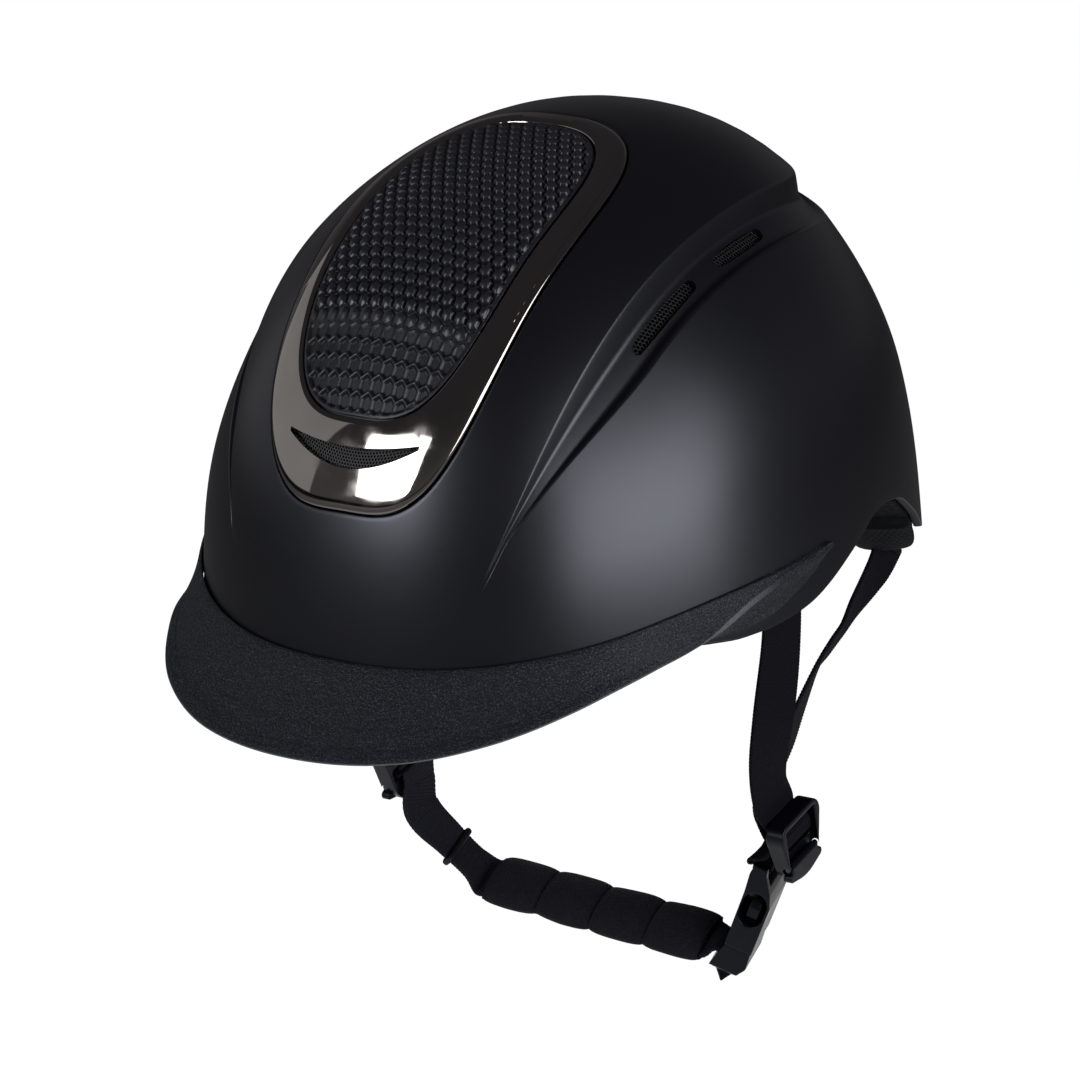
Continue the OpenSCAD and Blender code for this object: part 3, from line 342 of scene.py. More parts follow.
spacer = Finish("nape_mesh", Specular_IOR_Level=0.1)
HOLE_PITCH = 2.3
weave = spacer.attribute("weave", "Vector")
across, down = [(weave.part(axis) * (2 * 3.14159 / HOLE_PITCH)).apply("SINE") for axis in (0, 1)]
holes = (across * down).step(0.05, 0.55)
yarn = spacer.noise(1.2, 3)
strands = spacer.blend((0.0065, 0.007, 0.0095), (0.012, 0.013, 0.017), yarn)
spacer.colour(strands, (0.0008, 0.0008, 0.0012), holes)
spacer.feed("Roughness", 0.7 + 0.15 * yarn)
spacer.bump(1 - holes, 0.3)

def woven(name, dark, light):
    webbing = Finish(name, Specular_IOR_Level=0.07, Specular_Tint=(0.84, 0.86, 1.0, 1))
    strip = webbing.node("ShaderNodeUVMap", {"uv_map": "strip"})
    strip_u, strip_v = [strip.part(axis) * 1000 for axis in (0, 1)]
    twill = (strip_u * 5.2 + strip_v * 2.6).apply("SINE") * 0.5 + 0.5
    thread = (strip_u * 2.1).apply("SINE") * 0.5 + 0.5
    fluff = webbing.noise(1.3, 3)
    webbing.colour(dark, light, twill * 0.5 + fluff * 0.5)
    webbing.feed("Roughness", 0.58 + 0.2 * fluff)
    webbing.bump(twill * 0.7 + thread * 0.5 + fluff * 0.3, 0.12)

woven("webbing", (0.0016, 0.0015, 0.0028), (0.0066, 0.0062, 0.0104))
# The chin strap's webbing is painted paler: painted light, for the front light on it.
woven("chin_webbing", (0.005, 0.0052, 0.0078), (0.021, 0.021, 0.029))

# %% [markdown]
# ### Moulded plastics, rubber and steel
# Moulded parts share one recipe: a fine spark-eroded grain, with a smoother sheen where hands
# rub. The steel of the pins and the axle is brushed.

# %% Plastics and steel
def moulded(name, colour, rough, grain_size, depth, specular=0.32):
    part = Finish(name, Specular_IOR_Level=specular, Specular_Tint=(0.82, 0.86, 1.0, 1))
    fine = part.noise(grain_size, 2)
    rub = part.noise(9, 3)
    worn = [v * 1.6 for v in colour]
    part.colour(colour, worn, rub.step(0.45, 0.8))
    part.feed("Roughness", rough - 0.1 * rub.step(0.45, 0.7) + 0.08 * fine)
    part.bump(fine, depth)

BLACK = (0.0022, 0.0023, 0.0038)
moulded("buckle_plastic", BLACK, 0.3, 0.5, 0.02, 0.17)
moulded("divider_plastic", BLACK, 0.3, 0.6, 0.02, 0.2)
moulded("cradle_plastic", (0.008, 0.008, 0.009), 0.5, 0.7, 0.05)
moulded("dial_plastic", (0.01, 0.01, 0.011), 0.42, 0.6, 0.04)
moulded("anchor_plastic", (0.0024, 0.0024, 0.0034), 0.5, 0.7, 0.04, 0.15)
moulded("keeper_rubber", (0.0016, 0.0016, 0.0026), 0.55, 0.4, 0.04)
steel = Finish("pin_metal", Metallic=1.0)
brush = steel.noise(0.6, 3)
steel.colour((0.035, 0.035, 0.038), (0.075, 0.075, 0.08), brush)
steel.feed("Roughness", 0.22 + 0.2 * brush)
print("finishes made:", len(finishes))

# %% [markdown]
# ## The crown map
# The CAD draws the shell on a map of its crown: a place is a bearing from the front and an angle
# down from the crown, and a lift is a distance off the face. The same functions are written here
# for whole arrays of places, so that every piece lands where the CAD has it.

# %% Crown map
HALF_W, FRONT, BACK, TALL = 107.7, 137.2, 141.8, 157.7
PLAN, SIDE, LEAN, TAPER = 2.18, 2.32, 0.04, -0.026
PITCH = np.radians(13.5)

def size_of(v):
    return np.linalg.norm(v, axis=-1)

def unit(v):
    return v / size_of(v)[..., None]

def square_to(v, axis):
    return unit(v - np.dot(v, axis) * axis)

def reach(d):
    y = d[..., 1] - LEAN * d[..., 2]
    a = np.where(y < 0, FRONT, BACK)
    b = HALF_W * (1 + TAPER * d[..., 1])
    h = np.where(d[..., 2] > 0, TALL, 1.5 * TALL)
    plan = (np.abs(d[..., 0]) / b) ** PLAN + (np.abs(y) / a) ** PLAN
    return (plan ** (SIDE / PLAN) + (np.abs(d[..., 2]) / h) ** SIDE) ** (-1 / SIDE)

def face(q):
    phi = size_of(q)
    u = q / np.maximum(phi, 1e-9)[..., None]
    s, c = np.sin(np.radians(phi)), np.cos(np.radians(phi))
    d = np.stack([s * u[..., 0], s * u[..., 1], c], -1)
    return reach(d)[..., None] * d

def outward(q):
    p = face(q)
    return unit(np.cross(face(q + [0.2, 0]) - p, face(q + [0, 0.2]) - p))

def pitched(p):
    c, s = np.cos(PITCH), np.sin(PITCH)
    return np.stack([p[..., 0], p[..., 1] * c - p[..., 2] * s, p[..., 1] * s + p[..., 2] * c], -1)

def at(q, lift):
    q, lift = np.asarray(q, float), np.asarray(lift, float)
    return pitched(face(q) + lift[..., None] * outward(q))

def place(bearing, phi):
    b = np.radians(bearing)
    return np.stack([phi * np.sin(b), -phi * np.cos(b)], -1)

def curve(values, slopes, i, u, h):
    return ((2 * u**3 - 3 * u**2 + 1) * values[i] + (u**3 - 2 * u**2 + u) * slopes[i] * h
            + (3 * u**2 - 2 * u**3) * values[i + 1] + (u**3 - u**2) * slopes[i + 1] * h)

def along(table, x):
    xs, ys = np.array(table, float).T
    slopes = np.r_[0, (ys[2:] - ys[:-2]) / (xs[2:] - xs[:-2]), 0]
    i = np.clip(np.searchsorted(xs, x, "right") - 1, 0, len(xs) - 2)
    h = xs[i + 1] - xs[i]
    return curve(ys, slopes, i, np.clip((x - xs[i]) / h, 0, 1), h)

def ease(x):
    u = np.clip(x, 0, 1)
    return u * u * (3 - 2 * u)

def mix(a, b, t):
    return a + (b - a) * t

def turn(f):
    return np.abs((np.asarray(f, float) + 180) % 360 - 180)

PANEL_W, PANEL_L, PANEL_Y = 12.9, 25, -18.6
TRIM_W, TRIM_L, TRIM_Y = 16.7, 32.5, -22.5
CREST_W, CREST_L, CREST_Y = 26, 57, -15
CENTRE = np.array([0, PANEL_Y])
FADE_FROM, FADE_OVER = -61, 41
RIM = [[0, 77.4], [35, 76.8], [50, 76.5], [56, 77.7], [62, 79.1], [70, 80], [80, 80], [96, 77.2],
       [105, 76], [116, 79.6], [124, 86], [136, 95.5], [155, 99.5], [180, 100.5]]

def oblong(w, l, y, n, f, out=0.0):
    c, s = place(f, 1).T
    k = (np.abs(c) ** n + np.abs(s) ** n) ** (-1 / n)
    way = np.stack([np.sign(c) * np.abs(c) ** (n - 1) / w, np.sign(s) * np.abs(s) ** (n - 1) / l], -1)
    return np.stack([w * k * c, y + l * k * s], -1) + np.asarray(out)[..., None] * unit(way)
def panel_line(f, grow=0.0):
    return oblong(PANEL_W + grow, PANEL_L + grow, PANEL_Y, 3, f)
def trim_line(f, grow=0.0):
    return oblong(TRIM_W + grow, TRIM_L + grow, TRIM_Y, 3.2, f)
def crest_line(f, out=0.0):
    return oblong(CREST_W, CREST_L, CREST_Y, 4, f, out)
def toward(f, t):
    return mix(CENTRE, trim_line(f), t)
def to_crest(f, t):
    return mix(trim_line(f), crest_line(f), t)
def fade(f):
    return ease((crest_line(f)[..., 1] - FADE_FROM) / FADE_OVER)
def narrow(f):
    return np.maximum(fade(f), 0.12)
def rim(f, below=0.0):
    return place(f, along(RIM, turn(f)) + below)

print("crown of the shell at", at([0.0, 0.0], 0.0).round(1))

# %% [markdown]
# ## Mesh helpers
# A loft joins rings of points. A skin is a loft with a pole at each end, in the middle of its ring
# unless it is given. Faces are quads apart from those at the poles, so that smooth shading has no
# seams in it. A finished piece is settled: it rides on its body and stands for its node.

# %% Mesh helpers
def shade(piece, crease=None):
    piece.data.shade_smooth()
    if crease:
        piece.data.set_sharp_from_angle(angle=np.radians(crease))

def add_mesh(name, points, edges, faces):
    mesh = bpy.data.meshes.new(name)
    mesh.from_pydata([tuple(p) for p in np.asarray(points, float) / 1000], edges, faces)
    return add_object(name, mesh)

def make_piece(name, points, faces, finish, crease=None):
    piece = add_mesh(name, points, [], faces)
    piece.data.materials.append(finishes[finish].material)
    shade(piece, crease)
    return piece

def loft(rings, closed=False):
    m, n = len(rings), len(rings[0])
    faces = []
    for k in range(m if closed else m - 1):
        for i in range(n):
            a, b, j = k * n, ((k + 1) % m) * n, (i + 1) % n
            faces.append((a + i, a + j, b + j, b + i))
    return np.concatenate(rings), faces

def skin(rings, start=None, end=None):
    points, faces = loft(rings)
    n, count = len(rings[0]), len(points)
    last = count - n
    faces += [(count, (i + 1) % n, i) for i in range(n)]
    faces += [(count + 1, last + i, last + (i + 1) % n) for i in range(n)]
    start, end = [ring.mean(0) if pole is None else pole for ring, pole in ((rings[0], start), (rings[-1], end))]
    return np.vstack([points, start, end]), faces

def store(piece, name, values):
    values = np.asarray(values, np.float32)
    kind, key = ("FLOAT", "value") if values.ndim == 1 else ("FLOAT_VECTOR", "vector")
    piece.data.attributes.new(name, kind, "POINT").data.foreach_set(key, values.ravel())

def face_outwards(piece, first=None):
    bm = bmesh.new()
    bm.from_mesh(piece.data)
    if first:
        first(bm)
    bmesh.ops.recalc_face_normals(bm, faces=bm.faces)
    bm.to_mesh(piece.data)
    bm.free()

def settle(piece, node):
    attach(piece, body_of[node])
    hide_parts(node)
    print(piece.name, len(piece.data.polygons), "faces for", node)

def apply_modifiers(piece):
    evaluated = piece.evaluated_get(bpy.context.evaluated_depsgraph_get())
    mesh = bpy.data.meshes.new_from_object(evaluated)
    piece.modifiers.clear()
    piece.data = mesh

def cut(piece, cutters):
    for points, faces in cutters:
        tool = make_piece("cutter", points, faces, "shell_paint")
        face_outwards(tool)
        step = piece.modifiers.new("cut", "BOOLEAN")
        step.operation, step.solver, step.object = "DIFFERENCE", "EXACT", tool
        apply_modifiers(piece)
        bpy.data.objects.remove(tool)

# %% [markdown]
# ## Outer shell
# The shell is one moulding: a recess for the trim, a raised crest with a bevel, a channel on each
# side and the sides down to the rim. It could be a subdivision cage, but its creases fade out
# towards the front, so rings laid on the crown map follow them better. Each crease is rounded by
# averaging the profile over a short stretch. The vents are cut through it at the end. The rim is
# a raw cut edge with no gloss, and an attribute marks it for the paint.

# %% Outer shell
DEPTH, BEVEL, CHANNEL, DROP, WALL, RECESS = 5.0, 2.6, 6.0, 2.2, 3.0, 1.6
CHANNEL_MID = 4.3
around = np.arange(0, 360, 1.0)

def beyond(f, t):
    return mix(crest_line(f, (CHANNEL + 0.7) * narrow(f)), rim(f), t)

def side_lift(f, t):
    return -DROP * fade(f) * (1 - ease(t / 0.45))

def flat_at(q, lift, f):
    return np.concatenate([q, np.broadcast_to(np.asarray(lift, float), np.shape(f))[..., None]], -1)

def shell_profile(f):
    trim_out = trim_line(f, 0.3)
    stops = [(mix(CENTRE, panel_line(f), 0.5), -RECESS, 0.0), (trim_line(f), -RECESS, 0.0), (trim_out, 0, 0.12)]
    stops += [(mix(trim_out, crest_line(f), t), 0, 0.5) for t in np.linspace(0.06, 0.94, 12)]
    stops += [(crest_line(f), 0, 0.16), (crest_line(f, BEVEL * narrow(f)), -DEPTH * fade(f), 0.13),
              (crest_line(f, CHANNEL * narrow(f)), -DEPTH * fade(f), 0.12), (beyond(f, 0), side_lift(f, 0), 0.3)]
    stops += [(mix(beyond(f, 0), rim(f, -0.3), t), side_lift(f, t), 0.5) for t in np.linspace(0.03, 1, 34) ** 1.15]
    return np.array([flat_at(q, lift, f) for q, lift, _ in stops]), np.array([width for _, _, width in stops])

def rounded(stops, widths, samples):
    def pick(s):
        s = np.clip(s, 0, len(stops) - 1)
        i = np.minimum(s.astype(int), len(stops) - 2)
        t = (s - i).reshape((-1,) + (1,) * (stops.ndim - 1))
        return stops[i] * (1 - t) + stops[i + 1] * t
    near = np.interp(samples, np.arange(len(stops)), widths)
    near = np.minimum(near, np.minimum(samples, len(stops) - 1 - samples))
    spread = np.linspace(-1, 1, 9)
    return sum(pick(samples + w * near) for w in spread) / len(spread)

stops, widths = shell_profile(around)
samples = np.concatenate([[0, 0.25, 0.5, 0.75, 1, 1.5, 1.9, 2.1, 2.5], np.arange(3, 14, 1.0),
                          np.linspace(14.2, 18.6, 64), np.arange(19, len(stops) - 0.5, 1.0)])
profile = rounded(stops, widths, samples)
outer = [at(p[:, :2], p[:, 2]) for p in profile]
edge = [at(rim(around, below), lift)
        for below, lift in ((-0.12, -0.08), (0, -0.5), (0.02, -1.5), (0, -2.5), (-0.12, -WALL))]

def under_shell(f, starts, gap=0):
    steps = [(toward(f, t), 0) for t in starts]
    steps += [(to_crest(f, 0.2), 0), (crest_line(f, -1.5), 0)]
    steps += [(crest_line(f, CHANNEL_MID * narrow(f)), -DEPTH * fade(f))]
    steps += [(beyond(f, t), side_lift(f, t)) for t in (0.1, 0.25, 0.4, 0.55, 0.7, 0.85)]
    return [at(q, lift - WALL - gap) for q, lift in steps]

rings = outer + edge + under_shell(around, [0.55])[::-1]
points, faces = skin(rings, at(CENTRE[None], -RECESS), at(CENTRE[None], -WALL))
shell = make_piece("shell_skin", points, faces, "shell_paint")

SIDE_VENTS, REAR_VENTS = [(84.5, 100.5), (106, 117.5)], [(166, 194)]
VENT_IN, VENT_OUT = 3.3, 5.3

def vent_outline(vent):
    t = np.linspace(0, 1, 28)
    f = mix(vent[0], vent[1], t)
    r = np.sqrt(np.maximum(1 - (2 * t - 1) ** 2, 0))
    half = (VENT_OUT - VENT_IN) / 2 * (0.3 + 0.7 * r ** 0.5)
    return crest_line(f, CHANNEL_MID - half), crest_line(f, CHANNEL_MID + half)

def vent_plug(vent, mirror, top=3.0, low=-14.0):
    a, b = vent_outline(vent)
    return skin(np.stack([at(a, top), at(a, low), at(b, low), at(b, top)], 1) * [mirror, 1, 1])

CRESCENT_HALF, CRESCENT_LINES = 10.8, ((-49.9, -45.5), (-47.3, -45.15))

def crescent():
    t = 2 * np.linspace(0.02, 0.98, 40) - 1
    return [np.stack([CRESCENT_HALF * t, mix(middle, end, t ** 2)], -1) for middle, end in CRESCENT_LINES]

def crescent_plug(top, low):
    a, b = crescent()
    return skin(np.stack([at(a, low), at(a, top), at(b, top), at(b, low)], 1))

vents = [(v, 1) for v in SIDE_VENTS + REAR_VENTS] + [(v, -1) for v in SIDE_VENTS]
cut(shell, [vent_plug(v, m) for v, m in vents] + [crescent_plug(3, -8)])
NEAR_RIM = 0.0001
rim_tree = KDTree(4 * len(around))
for i, p in enumerate(np.concatenate(edge[1:])):
    rim_tree.insert(Vector(p / 1000), i)
rim_tree.balance()
store(shell, "raw_edge", [rim_tree.find(v.co)[2] < NEAR_RIM for v in shell.data.vertices])
shade(shell, 38)
settle(shell, "outer_shell")

# %% [markdown]
# ## Trim
# The bright trim is a pressed frame with a rolled edge on both sides. A section is carried round
# the opening, from the panel's edge to the shell's recess, and the crescent vent is cut low in it.
# Each point of the section has a share of the way across, an offset from there and a lift.

# %% Trim
TRIM_FOOT = -1.05
TRIM_SECTION = [(0, 0, TRIM_FOOT), (0, 0, 0.15), (0, 0.12, 0.55), (0, 0.35, 0.85), (0, 0.8, 1.0), (0.25, 0, 1.14),
                (0.5, 0, 1.18), (0.75, 0, 1.1), (1, -1.5, 0.98), (1, -0.9, 0.88), (1, -0.5, 0.72),
                (1, -0.2, 0.42), (1, -0.03, 0.1), (1, 0, -0.4), (1, 0, TRIM_FOOT), (0.5, 0, TRIM_FOOT)]

def trim_section(f):
    a, b = trim_line(f, -0.05), panel_line(f, 0.25)
    w = size_of(a - b)
    return [at(b + (a - b) * (share + offset / w)[:, None], lift) for share, offset, lift in TRIM_SECTION]

points, faces = loft(trim_section(np.arange(0, 360, 0.75)), closed=True)
trim = make_piece("trim_skin", points, faces, "trim_metal")
cut(trim, [crescent_plug(6, -6)])
shade(trim, 42)
settle(trim, "trim_frame")

# %% [markdown]
# ## Honeycomb panel
# The real panel is a field of cells that changes as it climbs: open six-sided pockets at the
# bottom turn into separate domes at the top, and the rows close up on the way. A rule like that
# suits Geometry Nodes. The mesh under it is a fine sheet on the crown map that carries each
# point's place in cell units. The tree finds the nearest cell centre, works out how far the point
# is from that cell's wall, and lifts it along the shell's outward direction.

# %% Sheet under the honeycomb
CELL_W, STEP = 1.72, 0.125
ROW_Y = [-46.4, -44.2, -42.0, -39.8, -37.5, -35.4, -33.3, -31.25, -29.4, -27.7, -25.9, -24.2, -22.5, -20.8, -19.2,
         -17.6, -16.0]
ROW_Y += [ROW_Y[-1] + 1.5 * k for k in range(1, 18)]
gx, gy = np.meshgrid(np.arange(-13.4, 13.41, STEP), np.arange(-44.0, 6.8, STEP))
sheet = np.stack([gx, gy], -1)
reached = (np.abs(gx / PANEL_W) ** 3 + np.abs((gy - PANEL_Y) / PANEL_L) ** 3) ** (1 / 3)
within = reached <= 1.0
margin = (1 - reached) * np.hypot(gx, gy - PANEL_Y) / np.maximum(reached, 0.01)
pulled = np.where(within[..., None], sheet, CENTRE + (sheet - CENTRE) / np.maximum(reached, 0.01)[..., None])
index = np.arange(gx.size).reshape(gx.shape)
quad = np.stack([index[:-1, :-1], index[:-1, 1:], index[1:, 1:], index[1:, :-1]], -1).reshape(-1, 4)
quad = quad[within.reshape(-1)[quad].sum(1) >= 1]
used = np.unique(quad)
renumber = np.full(gx.size, -1)
renumber[used] = np.arange(len(used))
quad = renumber[quad]
q = pulled.reshape(-1, 2)[used]
sides = np.sort(np.concatenate([quad[:, [i, (i + 1) % 4]] for i in range(4)]), 1)
sides, times = np.unique(sides, axis=0, return_counts=True)
border = {tuple(side) for side in sides[times == 1]}
loops = [(a, b) for four in quad for a, b in zip(four, np.roll(four, -1)) if (min(a, b), max(a, b)) in border]
on_border = sorted({a for pair in loops for a in pair})
low_of = {a: len(used) + k for k, a in enumerate(on_border)}
base_points = np.vstack([at(q, 0.1), at(q[on_border], TRIM_FOOT)])
base_faces = [tuple(four) for four in quad] + [(b, a, low_of[a], low_of[b]) for a, b in loops]
panel = make_piece("honeycomb_panel", base_points, base_faces, "panel_rubber")
q_all, foot = np.vstack([q, q[on_border]]), np.zeros(len(on_border))
store(panel, "cell_x", q_all[:, 0] / CELL_W)
store(panel, "cell_row", np.interp(q_all[:, 1], ROW_Y, np.arange(len(ROW_Y))))
store(panel, "climb", q_all[:, 1])
store(panel, "edge_room", np.r_[np.maximum(margin.reshape(-1)[used], 0), foot])
store(panel, "free", np.r_[np.ones(len(q)), foot])
store(panel, "out", pitched(outward(q_all)))
print("sheet points", len(base_points))

# %% Tree that shapes the honeycomb
def new_tree(name, sizes):
    tree = bpy.data.node_groups.new(name, "GeometryNodeTree")
    tree.interface.new_socket("Geometry", in_out="INPUT", socket_type="NodeSocketGeometry")
    tree.interface.new_socket("Geometry", in_out="OUTPUT", socket_type="NodeSocketGeometry")
    for label, value in sizes.items():
        socket = tree.interface.new_socket(label, in_out="INPUT", socket_type="NodeSocketFloat")
        socket.default_value = value
    start = tree.nodes.new("NodeGroupInput")
    return tree, {s.name: Value(tree, s) for s in start.outputs if s.name}

def read(tree, name, kind="FLOAT"):
    return add_node(tree, "GeometryNodeInputNamedAttribute", {"data_type": kind}, {"Name": name})

def moved(tree, geometry, way, distance):
    offset = add_node(tree, "ShaderNodeVectorMath", {"operation": "SCALE"},
                      {0: read(tree, way, "FLOAT_VECTOR"), "Scale": distance})
    return add_node(tree, "GeometryNodeSetPosition", None, {"Geometry": geometry, "Offset": offset})

def close_tree(tree, geometry, finish):
    solid = add_node(tree, "GeometryNodeRealizeInstances", None, {0: geometry})
    dressed = add_node(tree, "GeometryNodeSetMaterial", None, {0: solid, "Material": finishes[finish].material})
    tree.links.new(dressed.socket, tree.nodes.new("NodeGroupOutput").inputs[0])

def run_tree(piece, tree, sizes):
    step = piece.modifiers.new(tree.name, "NODES")
    step.node_group = tree
    for item in tree.interface.items_tree:
        if item.in_out == "INPUT" and item.name in sizes:
            step[item.identifier] = sizes[item.name]
    apply_modifiers(piece)

ROW_SHARE, POCKETS_END, DOMES_START, LIP_LIFT, DOME_TOP = 0.866, -34.5, -28.5, 0.00012, 0.0009
sizes = {"Pocket depth": 0.0011, "Dome height": 0.0014, "Gap depth": 0.0011, "Ridge": 0.1}
tree, size_in = new_tree("honeycomb", sizes)
cell_x, cell_row, climb = read(tree, "cell_x"), read(tree, "cell_row"), read(tree, "climb")
room, free = read(tree, "edge_room"), read(tree, "free")

def from_cell(odd):
    half = (1 - odd) / 2
    column = (cell_x + half).apply("ROUND") - half
    row = ((cell_row - odd) / 2).apply("ROUND") * 2 + odd
    dx, dy = abs(cell_x - column), abs(cell_row - row) * ROW_SHARE
    return dx, dy, dx * dx + dy * dy

even, odd = from_cell(0), from_cell(1)
near_even = even[2].apply("LESS_THAN", odd[2])
dx, dy = [even[i] * near_even + odd[i] * (1 - near_even) for i in (0, 1)]
hexed = dx.apply("MAXIMUM", dx * 0.5 + dy * ROW_SHARE)
wall = 0.5 - hexed
pocket = 0 - size_in["Pocket depth"] * wall.step(size_in["Ridge"] * 0.35, size_in["Ridge"] * 1.9)
round_off = (1 - (hexed / 0.5) ** 2).apply("MAXIMUM", 0.0)
dome = size_in["Dome height"] * round_off - size_in["Gap depth"] * (1 - wall.step(0.0, 0.15))
high = climb.step(POCKETS_END, DOMES_START)
height = pocket * (1 - high) + dome * high
lip = 1 - room.step(0.35, 0.75)
height = (height * (1 - lip) + LIP_LIFT * lip) * free
# This height share sets the polish and also the painted shade in the pockets.
raised_now = (height / DOME_TOP + 1).step(0.25, 1.2)
geometry = add_node(tree, "GeometryNodeStoreNamedAttribute", {"data_type": "FLOAT", "domain": "POINT"},
                    {"Geometry": size_in["Geometry"], "Name": "raised", "Value": raised_now})
close_tree(tree, moved(tree, geometry, "out", height), "panel_rubber")
run_tree(panel, tree, sizes)
shade(panel)
settle(panel, "grille_panel")

# %% [markdown]
# ## Vent meshes
# Behind each vent sits a net of thin wire. Modelling each wire by hand would be slow, so a tree
# turns the edges of a six-sided net into wires. The net lies on the crown map between the two
# long sides of its vent, and runs a little into the wall around it. The wire of the front net is
# painted paler than elsewhere, as painted light where that net is lit.

# %% Net on the crown map and its tree
OVERLAP, HALF_SIDE, NET_DROP, NET_PITCH = 0.3, 0.2887, 1.9, 1.5

def net_mesh(name, node, nets, wire_r):
    points, edges = [], []
    for line_a, line_b, lift, pitch, mirror in nets:
        mid, gap = (line_a + line_b) / 2, line_b - line_a
        a3, b3 = at(line_a, lift), at(line_b, lift)
        length = size_of(np.diff((a3 + b3) / 2, axis=0)).sum()
        width = size_of(b3 - a3)
        t_of = np.linspace(0, 1, len(mid))
        spot = {}
        def corner(i, j):
            if (i, j) in spot:
                return spot[i, j]
            t = i * pitch * 0.5 / length
            v = (j * pitch * HALF_SIDE) / width.max()
            room = np.interp(t, t_of, width) / width.max() / 2 + OVERLAP / width.max()
            if t < 0.0 or t > 1.0 or abs(v) > room:
                return None
            base = np.array([np.interp(t, t_of, mid[:, c]) for c in (0, 1)])
            way = np.array([np.interp(t, t_of, gap[:, c] / width * width.max()) for c in (0, 1)])
            spot[i, j] = len(points)
            points.append(at((base + way * v)[None], lift)[0] * [mirror, 1, 1])
            return spot[i, j]
        for i in range(int(length / pitch * 2) + 2):
            for j in range(-40, 41):
                if (j + 3 * i) % 6 not in (1, 5):
                    continue
                here = corner(i, j)
                if here is None:
                    continue
                ends = [(i, j + 2)] if (j + 3 * i) % 6 == 5 else [(i + 1, j + 1), (i - 1, j + 1)]
                for end in ends:
                    there = corner(*end)
                    if there is not None:
                        edges.append((here, there))
    piece = add_mesh(name, points, edges, [])
    sizes = {"Wire radius": wire_r / 1000}
    tree, size_in = new_tree(name + "_wires", sizes)
    lines = add_node(tree, "GeometryNodeMeshToCurve", None, {0: size_in["Geometry"]})
    section = add_node(tree, "GeometryNodeCurvePrimitiveCircle", None,
                       {"Resolution": 5, "Radius": size_in["Wire radius"]})
    wires = add_node(tree, "GeometryNodeCurveToMesh", None, {0: lines, 1: section})
    close_tree(tree, wires, "vent_mesh")
    run_tree(piece, tree, sizes)
    shade(piece)
    settle(piece, node)

def vent_nets(vents, mirror=1):
    return [(*vent_outline(vent), -DEPTH - NET_DROP, NET_PITCH, mirror) for vent in vents]

net_mesh("crescent_net", "front_vent_mesh", [(*crescent(), -RECESS - 0.5, 1.15, 1)], 0.17)
net_mesh("side_net_left", "side_vent_mesh_left", vent_nets(SIDE_VENTS), 0.2)
net_mesh("side_net_right", "side_vent_mesh_right", vent_nets(SIDE_VENTS, -1), 0.2)
net_mesh("rear_net", "rear_vent_mesh", vent_nets(REAR_VENTS), 0.2)

# %% [markdown]
# ## Peak
# The peak is one moulding whose section changes from a broad visor in front to a narrow wing at
# the side. Its section is drawn at every bearing, corners are trimmed off twice, as in
# subdivision, and the sections are lofted. A bead runs along the lower edge, and a paler line is
# painted on it as a painted highlight. An attribute marks where, and the painted highlight fades
# out towards the wings. The cloth lining lies just under the visor.

# %% Peak
JOINT = [[0, 74.1], [12, 74.1], [21, 73.8], [30, 73.2], [40, 72.3], [50, 71.3], [60, 70.9], [73, 71.3], [86, 72.3]]
EDGE = [[0, 82.7], [12, 82.2], [22, 80.9], [32, 79.2], [38, 78.2], [44, 77.9], [50, 77.2], [56, 75.7], [62, 73.8],
        [68, 72.8], [76, 72.3], [86, 73]]
SHARE = [[0, 1], [12, 0.95], [22, 0.76], [32, 0.49], [38, 0.34], [44, 0.165], [50, 0.085], [56, 0.08], [62, 0.09],
         [75, 0.09], [86, 0.06]]
FOOT = [[0, 76.9], [30, 76.4], [44, 76.1], [50, 76.1], [56, 77.2], [62, 78.4], [68, 78.6], [74, 77.4],
        [80, 75.8], [86, 73.9]]
PEAK_REACH, PEAK_EDGE, SEAT, PAINTED_HIGHLIGHT_RINGS = 30.8, 1.7, 0.25, slice(31, 35)

def peak_sections(f):
    def table(t, lift):
        return at(place(f, along(t, turn(f))), lift)
    j, j2, k = table(JOINT, SEAT), table(JOINT, 1.5), table(FOOT, SEAT)
    e = table(EDGE, PEAK_REACH * along(SHARE, turn(f)))
    r = np.minimum(PEAK_EDGE, size_of(e - k) * 0.3)[:, None]
    top, low = unit(j - e), unit(k - e)
    out = -unit(top + low)
    hollow = np.minimum(size_of(k - e) * 0.1, 2.5)[:, None]
    up = unit(mix(j, k, 0.5) - k)
    span = size_of(j - e)[:, None]
    return [j, j2, mix(j2, e, 0.25) - 0.03 * span * up, mix(j2, e, 0.5) - 0.04 * span * up,
            mix(j2, e, 0.75) - 0.028 * span * up, e + top * 2.9 * r - out * 0.12, e + top * 2.2 * r + up * 0.1,
            e + top * 1.3 * r + up * 0.5 + out * 0.1, e + top * 0.6 * r + up * 0.3 + out * 0.35,
            e + low * 0.5 * r + out * 0.3, e + low * 1.6 * r, e + low * 2.4 * r + up * 0.3,
            mix(e, k, 0.5) + hollow * up, k]

def trimmed(rings, times):
    for _ in range(times):
        nxt = np.roll(rings, -1, axis=1)
        rings = np.stack([0.75 * rings + 0.25 * nxt, 0.25 * rings + 0.75 * nxt], 2).reshape(len(rings), -1, 3)
    return rings

steps = np.linspace(-1, 1, 301)
peak_f = 86 * np.sign(steps) * np.abs(steps) ** 0.9
sections = np.stack(peak_sections(peak_f), 1)
rings = trimmed(sections, 2)[::-1]
peak = make_piece("peak_visor", *skin(rings), "peak_texture", 50)
# Where the painted highlight goes on the bead, fading out towards the wings.
bead = np.zeros(rings.shape[:2])
bead[:, PAINTED_HIGHLIGHT_RINGS] = 1 - ease((np.abs(peak_f) - 58) / 14)[:, None]
store(peak, "bead", np.r_[bead.ravel(), 0, 0])
settle(peak, "peak")

